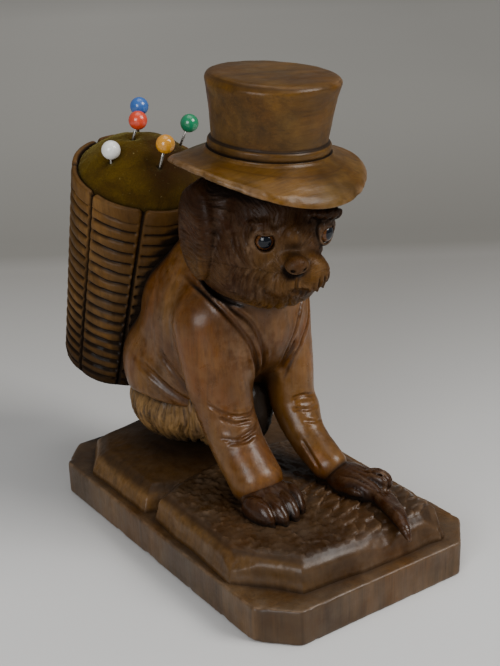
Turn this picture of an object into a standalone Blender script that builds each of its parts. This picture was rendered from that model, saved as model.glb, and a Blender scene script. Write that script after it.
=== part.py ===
"""A carved wooden dog in a top hat and coat, sitting on a rock and a small plinth.

The dog carries a ribbed basket on its back. The basket holds a velvet pincushion with five
ball-headed pins. The carving is one piece of wood; the eyes, the cushion and the pins are
pieces of their own.

Lengths are in millimetres in the values below and are turned into metres by MM. The dog
looks along -Y, +X is the dog's left side and +Z is up. The origin is the middle of the
plinth's underside.
"""
import math

import bmesh
import bpy
import numpy as np
from mathutils import Matrix, Vector
from mathutils.bvhtree import BVHTree

MM = 0.001

# Gap that touching separate pieces keep
GAP = 0.3

# Plinth
PLINTH_WIDTH = 53.4
PLINTH_LENGTH = 87.5
PLINTH_THICKNESS = 7.8
PLINTH_CORNER_X = 6.6
PLINTH_CORNER_Y = 6.9
PLINTH_FRONT_SKEW = 1.2
PLINTH_EDGE_WEAR = 0.4

# Rock that the dog sits on
ROCK_HEIGHT = 6.4
ROCK_INSET = 2.6
ROCK_ROOT = 2.0
ROCK_BEVEL = 2.0
ROCK_SHOULDER = 2.6
REAR_ROCK_DROP = 1.3
FRONT_ROCK_RISE = 0.1

# Dog, with heights taken from the top of the rock
TORSO_HALF_WIDTH = 13.8
HAUNCH_MIDDLE = (-1.4, 21.3)
SEAT_DEPTH = 15.4
HEM_HEIGHT = 13.2
HEM_STEP = 0.9
HEAD_FORWARD = 4.5
HEAD_HEIGHT = 55.0
HEAD_HALF_WIDTH = 13.0
FACE_TURN = math.radians(-18.0)
EYE_SPACING = 11.8
EYE_RADIUS = 2.0
EYE_FORWARD = 14.6
EYE_RISE = 2.4
EYE_ASIDE = 3.0
EYE_WIRE_RADIUS = 0.4
EYE_WIRE_LENGTH = 5.0
RIGHT_LEG_ASIDE = -9.3
LEFT_LEG_ASIDE = 8.4
LEG_RADIUS = 5.2
CUFF_FORWARD = 14.5
PAW_LENGTH = 12.5
TOES = 4
TOE_RADIUS = 1.6
TOE_PITCH = 2.9
CLAW_RIDGE_TIP = 43.4

# Top hat
HAT_FORWARD = 9.8
HAT_ABOVE_HEAD = 16.4
HAT_LEAN_FORWARD = math.radians(3.7)
HAT_LEAN_LEFT = math.radians(3.4)
HAT_SUNK = 6.5
BRIM_RADIUS = 19.1
BRIM_CURL = 2.15
BRIM_DROP = 2.85
BRIM_SAG_LEFT = 0.6
BRIM_THICKNESS = 1.3
CROWN_HEIGHT = 15.4
CROWN_FOOT_RADIUS = 11.3
CROWN_TOP_RADIUS = 12.9
CROWN_EDGE = 0.9
BAND_HEIGHT = 2.6
BAND_PROUD = 0.45

# Basket on the back
BASKET_SIDE = -4.0
BASKET_BACK = 30.9
BASKET_HEIGHT_OF_RIM = 60.6
BASKET_LEAN = math.radians(20.6)
BASKET_LENGTH = 52.7
BASKET_RIM_RADIUS = 16.2
BASKET_FOOT_RADIUS = 13.3
BASKET_WALL = 1.4
RIM_LIP = 1.3
BASKET_PANELS = 8
BASKET_FIRST_SEAM = math.radians(13.6)
BASKET_RIBS = 16
RIB_DEPTH = 0.65
SEAM_DEPTH = 0.7
SEAM_HALF_ANGLE = math.radians(3.0)
RIM_BAND = 3.4
RIM_NOTCH = 1.3
FOOT_BAND = 2.6
CUP_DEPTH = 24.0

# Velvet cushion
DOME_HEIGHT = 7.4
DOME_POWER = 2.2
DOME_BELOW_RIM = 0.8

# Pins
PIN_HEAD_RADIUS = 2.03
PIN_SHAFT_RADIUS = 0.3
PIN_SHAFT_LENGTH = 20.0
PIN_IN_HEAD = 1.4

# Cuts of the knife
CUT_DEPTH = 0.8
CUT_HALF_WIDTH = 0.8
FUR_DEPTH = 0.55
FUR_HALF_WIDTH = 0.7
FUR_CUTS = 17
FUR_SWEEP = math.radians(250.0)

# Fineness of the carved figure
FIGURE_VOXEL = 0.6
FIGURE_TRIANGLES = 5800

ROCK_TOP = PLINTH_THICKNESS + ROCK_HEIGHT

# Each pin: where it enters the dome across and along, its lean, and how far its head stands off
PINS = {
    "red": ((-1.5, 3.8), (0.08, -0.06), 4.1, (0.72, 0.07, 0.03)),
    "yellow": ((-0.9, -6.6), (0.06, -0.05), 5.1, (0.80, 0.50, 0.12)),
    "white": ((-9.0, 0.1), (-0.1, 0.06), 2.4, (0.85, 0.84, 0.82)),
    "green": ((9.8, 1.7), (0.14, -0.14), 5.8, (0.02, 0.26, 0.12)),
    "blue": ((2.6, 8.4), (-0.07, 0.04), 6.2, (0.04, 0.13, 0.45)),
}

# Cut lines by hand on the coat, as places across, along and above the rock
LAPEL_OUTER = [(10, 6, 44), (11, -2, 43), (9.6, -7, 40), (7.4, -9.3, 35.7), (5.4, -9.9, 31.7), (3.3, -7.4, 25.3)]
LAPEL_INNER = [(8.7, -6.4, 41.5), (6.2, -9.6, 38.3), (4.4, -10.7, 34.7), (3, -10.4, 30.3), (2.2, -8, 25)]
SIDE_FOLDS = [
    [(15.3, 18.8, 22.1), (14.5, 14.6, 20.0), (12.8, 11.4, 17.5), (11.1, 8.6, 15.4)],
    [(14.5, 12.6, 26.1), (13.9, 9.0, 22.9), (11.7, 6.1, 18.6)],
]
RIGHT_SLEEVE_FOLDS = [
    [(-14.9, -6.8, 20.7), (-12.5, -9.6, 18.9), (-7.7, -10.6, 17.8)],
    [(-13.6, -8.7, 19.2), (-11.1, -10.7, 17.5), (-7.2, -10.9, 16.8)],
    [(-14.0, -9.6, 14.4), (-11.7, -11.8, 14.5), (-6.6, -11.3, 15.2)],
    [(-14.3, -16.3, 5.6), (-12.0, -18.7, 6.7), (-8.6, -19.2, 6.9)],
]
MOUTH = [(-3.9, 17.4, -6.6), (-1.0, 20.0, -6.2), (1.6, 21.0, -6.9), (4.4, 20.2, -8.2)]
LEFT_SLEEVE_FOLDS = [
    [(6.2, -8.4, 16.1), (8.3, -8.8, 16.8), (10.7, -8.5, 16.0)],
    [(5.9, -9.4, 14.4), (8.4, -10.4, 14.3), (10.8, -9.8, 14.0)],
    [(5.6, -21.1, 3.1), (6.8, -20.6, 5.4), (9.2, -20.0, 6.4)],
]


def clear_scene():
    """Removes whatever the file starts with."""
    for item in list(bpy.data.objects):
        bpy.data.objects.remove(item, do_unlink=True)


def material(name, colour, roughness, metallic=0.0):
    """A Principled material of one colour."""
    made = bpy.data.materials.new(name)
    made.use_nodes = True
    shader = made.node_tree.nodes["Principled BSDF"]
    shader.inputs["Base Color"].default_value = (*colour, 1.0)
    shader.inputs["Roughness"].default_value = roughness
    shader.inputs["Metallic"].default_value = metallic
    return made


def add_object(name, mesh):
    """Puts a mesh in the scene as an object of its own."""
    made = bpy.data.objects.new(name, mesh)
    bpy.context.scene.collection.objects.link(made)
    return made


def mesh_from(bm, name):
    """Closes a bmesh into a named mesh with its faces pointing out."""
    bmesh.ops.recalc_face_normals(bm, faces=bm.faces)
    if bm.calc_volume(signed=True) < 0:
        bmesh.ops.reverse_faces(bm, faces=bm.faces)
    mesh = bpy.data.meshes.new(name)
    bm.to_mesh(mesh)
    bm.free()
    return mesh


def evaluated(obj):
    """The object's mesh with its modifiers worked out."""
    graph = bpy.context.evaluated_depsgraph_get()
    graph.update()
    return bpy.data.meshes.new_from_object(obj.evaluated_get(graph))


def settle(obj):
    """Applies the object's modifiers to its mesh."""
    mesh = evaluated(obj)
    obj.modifiers.clear()
    obj.data = mesh


def boolean(obj, others, operation):
    """Joins the others to obj, or cuts them from it, and removes them."""
    for other in others:
        step = obj.modifiers.new(operation.title(), "BOOLEAN")
        step.operation = operation
        step.object = other
        step.solver = "EXACT"
        settle(obj)
        bpy.data.objects.remove(other, do_unlink=True)


def rings_to_mesh(rings, name):
    """Bridges equal rings of points in millimetres and closes both ends with flat caps."""
    bm = bmesh.new()
    rows = [[bm.verts.new(Vector(p) * MM) for p in ring] for ring in rings]
    count = len(rows[0])
    for low, high in zip(rows, rows[1:]):
        for i in range(count):
            j = (i + 1) % count
            bm.faces.new((low[i], low[j], high[j], high[i]))
    bm.faces.new(list(reversed(rows[0])))
    bm.faces.new(rows[-1])
    return mesh_from(bm, name)


def mass(centre, radii, turn=0.0, tip=0.0, name="mass"):
    """An ellipsoid: radii across, along and up, turned about Z and tipped about X."""
    bm = bmesh.new()
    bmesh.ops.create_uvsphere(bm, u_segments=28, v_segments=18, radius=1.0)
    place = Matrix.Translation(Vector(centre)) @ Matrix.Rotation(turn, 4, "Z") @ Matrix.Rotation(tip, 4, "X")
    bm.transform(Matrix.Scale(MM, 4) @ place @ Matrix.Diagonal((*radii, 1.0)))
    return add_object(name, mesh_from(bm, name))


def limb(path, radii, name="limb"):
    """A round limb along a path, with one radius for each point of it and round ends."""
    made = []
    for (a, b), (ra, rb) in zip(zip(path, path[1:]), zip(radii, radii[1:])):
        start, end = Vector(a), Vector(b)
        run = end - start
        turn = run.to_track_quat("Z", "Y").to_matrix().to_4x4()
        bm = bmesh.new()
        bmesh.ops.create_cone(
            bm, cap_ends=True, segments=28, radius1=ra * MM, radius2=rb * MM, depth=run.length * MM
        )
        bm.transform(Matrix.Translation((start + end) * 0.5 * MM) @ turn)
        made.append(add_object(name, mesh_from(bm, name)))
    made += [mass(point, (r, r, r)) for point, r in zip(path, radii)]
    return made


def axes_of(lean_forward, lean_left):
    """Across, along and up directions of something that leans towards -Y and +X."""
    up = Vector((math.sin(lean_left), -math.sin(lean_forward), math.cos(lean_forward))).normalized()
    across = (Vector((1, 0, 0)) - up * up.x).normalized()
    return across, up.cross(across), up


def above_rock(x, y, z):
    """A place given by its height above the rock."""
    return Vector((x, y, ROCK_TOP + z))


def in_head(x, y, z):
    """A place given from the middle of the head."""
    return above_rock(x, y - HEAD_FORWARD, z + HEAD_HEIGHT)


def face_ahead():
    """The way the face looks."""
    return Vector((math.sin(FACE_TURN), -math.cos(FACE_TURN), 0))


def in_face(left, forward, rise):
    """A place given from the middle of the head along the turned face's own directions."""
    aside = Vector((math.cos(FACE_TURN), math.sin(FACE_TURN), 0))
    return in_head(0, 0, rise) + face_ahead() * forward + aside * left


def trimmed(obj, place, normal):
    """Cuts away what lies on the normal's side of a plane and closes the cut."""
    bm = bmesh.new()
    bm.from_mesh(obj.data)
    cut = bmesh.ops.bisect_plane(
        bm, geom=bm.verts[:] + bm.edges[:] + bm.faces[:], plane_co=Vector(place) * MM, plane_no=normal,
        clear_outer=True,
    )
    edges = [item for item in cut["geom_cut"] if isinstance(item, bmesh.types.BMEdge)]
    bmesh.ops.contextual_create(bm, geom=edges)
    obj.data = mesh_from(bm, obj.name)
    return obj


def coat_parts():
    """The coat's body down to its hem, the shoulders and the nape."""
    w = TORSO_HALF_WIDTH
    x, y = HAUNCH_MIDDLE
    skirt = [
        mass(above_rock(x, y, 18), (w + 1.0, SEAT_DEPTH, 15)),
        mass(above_rock(-0.8, 12, 27), (w, 14.5, 19)),
        mass(above_rock(-1.4, 18, 31), (w - 1.2, 13, 15)),
    ]
    hem = above_rock(0, 0, HEM_HEIGHT)
    return [trimmed(part, hem, Vector((0, 0.05, -1))) for part in skirt] + [
        mass(above_rock(0, 1, 35), (w - 0.4, 12.5, 14)),
        mass(above_rock(0, 11, 39), (w - 2, 13, 13)),
        mass(above_rock(-0.6, 9, 33), (w - 0.2, 14.5, 14)),
        mass(above_rock(0, -2, 43), (w - 3.5, 8.5, 8)),
    ]


def haunch_parts():
    """The hairy rump below the hem of the coat, and the belly behind the forelegs."""
    w = TORSO_HALF_WIDTH + 1.0 - HEM_STEP
    x, y = HAUNCH_MIDDLE
    return [
        mass(above_rock(x, y, 9.5), (w, SEAT_DEPTH - HEM_STEP, 10.5)),
        mass(above_rock(-0.5, 8, 12), (w - 4, 12, 11)),
    ]


def toes(middle, ahead, count=TOES):
    """Toes side by side across the front of a paw."""
    made = []
    for i in range(count):
        shift = i - (count - 1) / 2
        place = Vector(middle) + Vector((shift * TOE_PITCH, 0.35 * shift * shift - ahead, 0))
        made.append(mass(place, (TOE_RADIUS, 3.4, 2.3), -0.06 * shift))
    return made


def right_foreleg_parts():
    """The straight sleeve on the dog's right and its paw."""
    x, r, cuff = RIGHT_LEG_ASIDE, LEG_RADIUS, CUFF_FORWARD
    path = [
        above_rock(x, 0, 36), above_rock(x, -2.8, 24), above_rock(x, -5.0, 16.5),
        above_rock(x, -cuff + 6, 10.6), above_rock(x - 0.2, -cuff, 5.2),
    ]
    parts = limb(path, [r + 2.3, r + 1.7, r + 0.7, r + 0.1, r])
    paw = above_rock(x - 0.8, -cuff - PAW_LENGTH / 2, 1.6)
    parts.append(mass(paw, (r + 0.5, PAW_LENGTH / 2 + 0.5, 3.7), -0.05))
    return parts + toes(paw + Vector((0, 0, 0.3)), PAW_LENGTH / 2 - 1.6)


def left_foreleg_parts():
    """The bent sleeve on the dog's left, its paw and the pointed ridge in front of it."""
    x, r, cuff = LEFT_LEG_ASIDE, LEG_RADIUS, CUFF_FORWARD + 3
    path = [
        above_rock(x, 0, 36), above_rock(x + 0.2, -2.5, 24), above_rock(x + 0.2, -4.2, 14.5),
        above_rock(x - 0.2, -10, 7.9), above_rock(x, -cuff, 3.3),
    ]
    parts = limb(path, [r + 1.7, r + 0.6, r - 0.3, r - 1.0, r - 1.1])
    parts.append(mass(above_rock(x + 2.0, -6.6, 12.2), (2.6, 2.6, 2.6)))
    paw = above_rock(x + 1.6, -cuff - PAW_LENGTH / 2, 1.8)
    parts.append(mass(paw, (r - 0.4, PAW_LENGTH / 2 + 1.5, 3.6), 0.1))
    parts.append(mass(paw + Vector((1.7, -4.6, 1.9)), (2.4, 3.2, 2.2), 0.1))
    ridge = [above_rock(x + 3.2, -31, 2.2), above_rock(x + 0.2, -38.5, 1.0), above_rock(x - 2, -CLAW_RIDGE_TIP, -1.5)]
    return parts + limb(ridge, [2.6, 1.9, 0.8])


def head_parts():
    """Skull, cheeks, face, beard, muzzle, brows and hanging ears."""
    w = HEAD_HALF_WIDTH
    turn = FACE_TURN
    parts = [
        mass(in_head(0, 0, 0), (w, 13.5, 12.5)),
        mass(in_face(1.8, 9.3, -1.4), (10.4, 8.6, 9.0), turn),
        mass(in_face(2.4, 7.0, 6.5), (10.6, 9.0, 7.0), turn),
        mass(in_face(0.6, 9.3, -8.2), (9.2, 8.6, 6.4), turn),
        mass(in_face(1.6, 16.4, -4.4), (5.4, 4.2, 4.4), turn),
        mass(in_face(1.4, 20.2, -2.4), (2.5, 1.9, 2.1), turn),
        mass(in_face(5.9, 17.4, -6.2), (3.3, 3.2, 3.6), turn),
        mass(in_face(-0.9, 17.2, -6.2), (3.3, 3.2, 3.6), turn),
        mass(in_face(8.8, 15.8, 6.4), (3.4, 2.4, 1.6), turn),
        mass(in_face(-5.2, 14.6, 6.6), (3.4, 2.4, 1.5), turn),
    ]
    for side in (-1, 1):
        orbit = in_face(EYE_ASIDE + side * EYE_SPACING * 0.44, EYE_FORWARD - 3.4, EYE_RISE)
        parts.append(mass(orbit, (4.3, 4.6, 4.8), turn))
        parts.append(mass(in_head(side * 6.5, -1, -5), (6.6, 8.2, 7.4)))
        parts.append(mass(in_head(side * (w + 0.1), 2.2, 2.0), (2.4, 5.6, 8.0), side * 0.2))
        parts.append(mass(in_head(side * (w + 0.8), -0.6, -2.6), (2.0, 3.8, 5.8), side * 0.1, 0.35))
    return parts


def smooth_path(points, steps=14):
    """Closely spaced places on one smooth curve through the points."""
    p = np.array([tuple(q) for q in points], dtype=float)
    p = np.vstack([2 * p[0] - p[1], p, 2 * p[-1] - p[-2]])
    t = np.linspace(0, 1, steps, endpoint=False)[:, None]
    runs = []
    for a, b, c, d in zip(p, p[1:], p[2:], p[3:]):
        runs.append(b + 0.5 * t * (c - a + t * (2 * a - 5 * b + 4 * c - d + t * (3 * (b - c) + d - a))))
    return np.vstack([*runs, p[-2:-1]])


def coat_lines():
    """Lapel lines on both sides of the chest, the folds of the coat and the mouth."""
    lines = []
    for side in (-1, 1):
        for line in (LAPEL_OUTER, LAPEL_INNER, *SIDE_FOLDS):
            lines.append([above_rock(side * x, y, z) for x, y, z in line])
    for line in (*RIGHT_SLEEVE_FOLDS, *LEFT_SLEEVE_FOLDS):
        lines.append([above_rock(*place) for place in line])
    lines.append([in_face(*place) for place in MOUTH])
    return lines


def fur_lines():
    """Upright cuts all round the hairy rump."""
    lines = []
    for i in range(FUR_CUTS):
        angle = math.pi / 2 + FUR_SWEEP * (i / (FUR_CUTS - 1) - 0.5)
        out = Vector((math.cos(angle), math.sin(angle), 0)) * TORSO_HALF_WIDTH
        foot = above_rock(HAUNCH_MIDDLE[0], HAUNCH_MIDDLE[1], 0)
        bend = 0.5 * math.sin(2.4 * i)
        lines.append([foot + out + Vector((0, 0, HEM_HEIGHT - 1.5)), foot + out * 1.05 + Vector((bend, bend, 7)),
                      foot + out * 0.85 + Vector((0, 0, 2.5))])
    return lines


def carve(obj, lines, depth, half_width):
    """Presses V-shaped cuts into the skin along lines that are first laid onto it."""
    mesh = obj.data
    tree = BVHTree.FromPolygons([v.co for v in mesh.vertices], [tuple(p.vertices) for p in mesh.polygons])
    places = np.empty(len(mesh.vertices) * 3)
    normals = np.empty(len(mesh.vertices) * 3)
    mesh.vertices.foreach_get("co", places)
    mesh.vertices.foreach_get("normal", normals)
    places, normals = places.reshape(-1, 3) / MM, normals.reshape(-1, 3)
    push = np.zeros(len(places))
    for line in lines:
        path = np.array([tuple(tree.find_nearest(Vector(p) * MM)[0]) for p in smooth_path(line)]) / MM
        near = np.flatnonzero(np.all((places > path.min(0) - 2) & (places < path.max(0) + 2), axis=1))
        gaps = np.linalg.norm(places[near][:, None] - path[None], axis=2)
        nearest = gaps.argmin(1)
        fade = np.minimum(1, 4 * np.minimum(nearest + 1, len(path) - nearest) / len(path))
        push[near] = np.maximum(push[near], fade * np.clip(1 - gaps.min(1) / half_width, 0, 1))
    mesh.vertices.foreach_set("co", ((places - normals * push[:, None] * depth) * MM).ravel())
    mesh.update()


def fuse(parts, name, voxel):
    """Melts overlapping masses into one soft skin."""
    bm = bmesh.new()
    for part in parts:
        bm.from_mesh(part.data)
        bpy.data.objects.remove(part, do_unlink=True)
    obj = add_object(name, mesh_from(bm, name))
    skin = obj.modifiers.new("Skin", "REMESH")
    skin.mode = "VOXEL"
    skin.voxel_size = voxel * MM
    soften = obj.modifiers.new("Soften", "SMOOTH")
    soften.factor = 0.5
    soften.iterations = 6
    settle(obj)
    return obj


def thin(obj, triangles):
    """Thins a skin of four-sided faces to about that many triangles."""
    step = obj.modifiers.new("Thin", "DECIMATE")
    step.ratio = min(1.0, triangles / (2.0 * len(obj.data.polygons)))
    step.use_collapse_triangulate = True
    settle(obj)


def build_figure():
    """The dog without its hat and basket."""
    parts = coat_parts() + haunch_parts() + head_parts() + right_foreleg_parts() + left_foreleg_parts()
    figure = fuse(parts, "figure", FIGURE_VOXEL)
    carve(figure, coat_lines(), CUT_DEPTH, CUT_HALF_WIDTH)
    carve(figure, fur_lines(), FUR_DEPTH, FUR_HALF_WIDTH)
    thin(figure, FIGURE_TRIANGLES)
    return figure


def build_plinth():
    """A board with cut corners and a front edge that was sawn slightly out of square."""
    x, y = PLINTH_WIDTH / 2, PLINTH_LENGTH / 2
    cx, cy = PLINTH_CORNER_X, PLINTH_CORNER_Y
    outline = [
        (-x + cx, -y), (x - cx, -y - PLINTH_FRONT_SKEW), (x, -y - PLINTH_FRONT_SKEW + cy), (x, y - cy),
        (x - cx, y), (-x + cx, y), (-x, y - cy), (-x, -y + cy),
    ]
    wear = PLINTH_EDGE_WEAR
    rings = []
    for z, inset in ((0, 0), (PLINTH_THICKNESS - wear, 0), (PLINTH_THICKNESS, wear)):
        rings.append([(px * (1 - inset / x), py * (1 - inset / y), z) for px, py in outline])
    return add_object("plinth", rings_to_mesh(rings, "plinth"))


def rock(outline, top, root, crown=0.5):
    """A slab with steep sides, a chiselled bevel and a slightly humped top, let into the plinth by its root."""
    cx = sum(p[0] for p in outline) / len(outline)
    cy = sum(p[1] for p in outline) / len(outline)
    rings = []
    steps = (
        (PLINTH_THICKNESS - root, 0.0), (top - ROCK_SHOULDER, 0.3), (top - 0.3, ROCK_BEVEL + 0.3),
        (top + crown, ROCK_BEVEL + 5),
    )
    for z, inset in steps:
        ring = []
        for px, py in outline:
            reach = math.hypot(px - cx, py - cy)
            share = 1 - inset / reach
            ring.append((cx + (px - cx) * share, cy + (py - cy) * share, z))
        rings.append(ring)
    return add_object("rock", rings_to_mesh(rings, "rock"))


def build_rocks():
    """The chiselled slabs between the plinth and the dog."""
    x, y = PLINTH_WIDTH / 2 - ROCK_INSET, PLINTH_LENGTH / 2 - ROCK_INSET
    main_slab = [
        (-x, -y + 43), (-x - 0.3, -y + 28), (-x - 0.8, -y + 14), (-x + 8, -y + 2.2), (-2, -y + 0.2),
        (x - 7, -y - 0.6), (x - 3.6, -y + 5), (x - 3.6, -y + 20), (x - 3, -y + 46), (2, -y + 50), (-x + 6, -y + 46),
    ]
    rear_slab = [
        (-x, -y + 47), (-x - 0.2, y - 13), (-x + 5.5, y - 3.5), (-2, y - 1.5), (x - 6, y - 2), (x - 0.5, y - 10),
        (x - 1.5, -y + 48), (x - 8, -y + 42), (-x + 10, -y + 42),
    ]
    front_slab = [(8, -y + 14), (x - 2.8, -y + 16), (x - 2.6, -y + 6), (x - 6, -y), (7, -y + 1), (6, -y + 6)]
    return [
        rock(main_slab, ROCK_TOP, ROCK_ROOT),
        rock(rear_slab, ROCK_TOP - REAR_ROCK_DROP, ROCK_ROOT + 0.4),
        rock(front_slab, ROCK_TOP + FRONT_ROCK_RISE, ROCK_ROOT + 0.8),
    ]


def hat_seat():
    """Middle of the joint of brim and crown."""
    return above_rock(-0.1, -HAT_FORWARD, HEAD_HEIGHT + HAT_ABOVE_HEAD)


def build_hat():
    """A top hat whose brim curls up at the sides and dips in front and behind."""
    across, along, up = axes_of(HAT_LEAN_FORWARD, HAT_LEAN_LEFT)
    seat = hat_seat()
    foot, top, brim = CROWN_FOOT_RADIUS, CROWN_TOP_RADIUS, BRIM_RADIUS
    profile = [
        (foot - 3, -HAT_SUNK), (foot + 1, -BRIM_THICKNESS - 0.6), (brim - 3, -BRIM_THICKNESS - 0.2),
        (brim - 0.3, -BRIM_THICKNESS * 0.8), (brim, -BRIM_THICKNESS / 2), (brim - 0.3, 0), (foot + 3.6, 0.1),
        (foot + BAND_PROUD + 0.3, 0.6), (foot + BAND_PROUD, BAND_HEIGHT), (foot, BAND_HEIGHT + 0.4),
        (foot + 0.2, CROWN_HEIGHT * 0.5), (top - 0.4, CROWN_HEIGHT - 3.2), (top, CROWN_HEIGHT - CROWN_EDGE),
        (top - CROWN_EDGE, CROWN_HEIGHT),
    ]
    segments = 34
    rings = []
    for radius, height in profile:
        weight = max(0.0, (radius - foot) / (brim - foot)) ** 2 if height < 0.5 else 0.0
        ring = []
        for i in range(segments):
            angle = 2 * math.pi * i / segments
            lift = (BRIM_CURL * math.cos(2 * angle) - BRIM_SAG_LEFT * math.cos(angle) - BRIM_DROP) * weight
            point = seat + across * radius * math.cos(angle) + along * radius * math.sin(angle)
            ring.append(point + up * (height + lift))
        rings.append(ring)
    return add_object("hat", rings_to_mesh(rings, "hat"))


def basket_frame():
    """Rim middle of the basket with its across, along and up directions."""
    return above_rock(BASKET_SIDE, BASKET_BACK, BASKET_HEIGHT_OF_RIM), *axes_of(BASKET_LEAN, 0.0)


def basket_point(radius, angle, depth):
    """A place in the basket: depth is measured down from the rim."""
    rim, across, along, up = basket_frame()
    return rim + across * radius * math.cos(angle) + along * radius * math.sin(angle) - up * depth


def basket_radius(depth):
    """Outer radius of the basket at a depth below its rim."""
    share = depth / BASKET_LENGTH
    return BASKET_RIM_RADIUS + (BASKET_FOOT_RADIUS - BASKET_RIM_RADIUS) * share


def panel_angles():
    """Columns of the basket: a seam line, its two sides and the panel between."""
    step = 2 * math.pi / BASKET_PANELS
    half = SEAM_HALF_ANGLE
    angles = []
    for panel in range(BASKET_PANELS):
        start = BASKET_FIRST_SEAM + panel * step
        angles += [(start, 1.0), (start + half, 0.0), (start + step / 3, 0.0), (start + step * 2 / 3, 0.0),
                   (start + step - half, 0.0)]
    return angles


def build_basket():
    """A tapered basket of eight ribbed panels, closed across the top until its cup is cut."""
    ribbed = BASKET_LENGTH - RIM_BAND - FOOT_BAND
    pitch = ribbed / BASKET_RIBS
    rows = [(0.0, 0.5), (0.5, 0.0)]
    for rib in range(BASKET_RIBS):
        start = RIM_BAND + rib * pitch
        rows += [(start, 1.0), (start + pitch * 0.45, 0.0)]
    rows += [(RIM_BAND + ribbed, 1.0), (RIM_BAND + ribbed + 0.6, 0.2), (BASKET_LENGTH - 0.8, 0.2), (BASKET_LENGTH, 1.4)]
    rings = []
    for depth, cut in rows:
        ring = []
        for angle, seam in panel_angles():
            radius = basket_radius(depth) - max(RIB_DEPTH * cut, SEAM_DEPTH * seam)
            notch = RIM_NOTCH * seam if depth < 1.0 else 0.0
            ring.append(basket_point(radius, angle, depth + notch))
        rings.append(ring)
    return add_object("basket", rings_to_mesh(rings, "basket"))


def cup_radius(depth):
    """Radius of the cup inside the basket, a little wider at the lip."""
    wall = RIM_LIP if depth < RIM_BAND else RIB_DEPTH + BASKET_WALL
    return basket_radius(depth) - wall


def turned(profile, name, segments=32):
    """A round body on the basket's own axis from (radius, depth) pairs."""
    rings = []
    for radius, depth in profile:
        rings.append([basket_point(radius, 2 * math.pi * i / segments, depth) for i in range(segments)])
    return add_object(name, rings_to_mesh(rings, name))


def build_cup_cutter():
    """The hollow that takes the cushion."""
    lip, floor = RIM_BAND, CUP_DEPTH
    profile = [
        (cup_radius(0), -BASKET_WALL * 3), (cup_radius(0), 0), (cup_radius(lip - 1), lip - 1), (cup_radius(lip), lip + 1),
        (cup_radius(floor), floor),
    ]
    return turned(profile, "cup_cutter")


def dome_height(reach):
    """Height of the velvet above the rim at a distance from the basket's axis."""
    share = min(1.0, reach / cup_radius(0))
    return DOME_HEIGHT - (DOME_HEIGHT + DOME_BELOW_RIM) * share ** DOME_POWER


def dome_point(across, along, above=0.0):
    """A place on the velvet dome, or that far above it along the basket's axis."""
    rim, side, back, up = basket_frame()
    return rim + side * across + back * along + up * (dome_height(math.hypot(across, along)) + above)


def build_cushion():
    """The stuffed velvet pad: it fills the cup and rises in a dome above the rim."""
    lip, floor = RIM_BAND, CUP_DEPTH
    profile = [(cup_radius(floor) - GAP, floor - GAP), (cup_radius(lip) - GAP, lip + 1), (cup_radius(0) - GAP, lip - 1)]
    reaches = [1.0, 0.97, 0.9, 0.8, 0.67, 0.5, 0.3, 0.1]
    for share in reaches:
        reach = (cup_radius(0) - GAP) * share
        profile.append((reach, -dome_height(reach)))
    return turned(profile, "velvet_cushion")


def eye_centre(side):
    """Middle of an eyeball."""
    return in_face(EYE_ASIDE + side * EYE_SPACING / 2, EYE_FORWARD, EYE_RISE)


def rod(start, end, radius, name, segments=12):
    """A straight round rod between two places."""
    run = Vector(end) - Vector(start)
    turn = run.to_track_quat("Z", "Y").to_matrix().to_4x4()
    bm = bmesh.new()
    bmesh.ops.create_cone(
        bm, cap_ends=True, segments=segments, radius1=radius * MM, radius2=radius * MM, depth=run.length * MM
    )
    bm.transform(Matrix.Translation((Vector(start) + Vector(end)) * 0.5 * MM) @ turn)
    return add_object(name, mesh_from(bm, name))


def ball(centre, radius, name, segments=15):
    """A round ball."""
    bm = bmesh.new()
    bmesh.ops.create_uvsphere(bm, u_segments=segments, v_segments=segments * 2 // 3, radius=radius * MM)
    bm.transform(Matrix.Translation(Vector(centre) * MM))
    return add_object(name, mesh_from(bm, name))


def pin_line(colour):
    """Middle of a pin's head and the tip of its shaft."""
    (across, along), (lean_across, lean_along), stand_off, _ = PINS[colour]
    _, side, back, up = basket_frame()
    axis = (up + side * lean_across + back * lean_along).normalized()
    head = dome_point(across, along) + axis * stand_off
    return head, head - axis * PIN_SHAFT_LENGTH


def shaft_start(head, tip):
    """Upper end of a shaft: it stops inside its ball."""
    return head + (tip - head).normalized() * (PIN_HEAD_RADIUS - PIN_IN_HEAD)


def build_pin(colour):
    """One pin: a ball with a blind bore and a steel shaft that stands in it."""
    head, tip = pin_line(colour)
    axis = (tip - head).normalized()
    start = shaft_start(head, tip)
    ball_head = ball(head, PIN_HEAD_RADIUS, "pin_head_" + colour)
    bore = rod(start - axis * GAP, head + axis * PIN_HEAD_RADIUS * 2, PIN_SHAFT_RADIUS + GAP, "bore", 10)
    boolean(ball_head, [bore], "DIFFERENCE")
    shaft = rod(start, tip, PIN_SHAFT_RADIUS, "pin_shaft_" + colour, 10)
    return ball_head, shaft


def pin_bores():
    """Holes that the pins make in the cushion."""
    made = []
    for colour in PINS:
        head, tip = pin_line(colour)
        axis = (tip - head).normalized()
        made.append(rod(head, tip + axis * GAP, PIN_SHAFT_RADIUS + GAP, "pin_bore", 10))
    return made


def eye_wire(side, start_gap, end_gap, radius, name):
    """The wire behind an eye, or the bore that takes it."""
    centre, ahead = eye_centre(side), face_ahead()
    start = centre - ahead * (EYE_RADIUS + start_gap)
    return rod(start, centre - ahead * (EYE_RADIUS + EYE_WIRE_LENGTH + end_gap), radius, name)


def eye_cutters():
    """Sockets and wire bores of both eyes."""
    made = []
    for side in (-1, 1):
        made.append(ball(eye_centre(side), EYE_RADIUS + GAP, "socket"))
        made.append(eye_wire(side, -1.0, GAP, EYE_WIRE_RADIUS + GAP, "wire_bore"))
    return made


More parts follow.
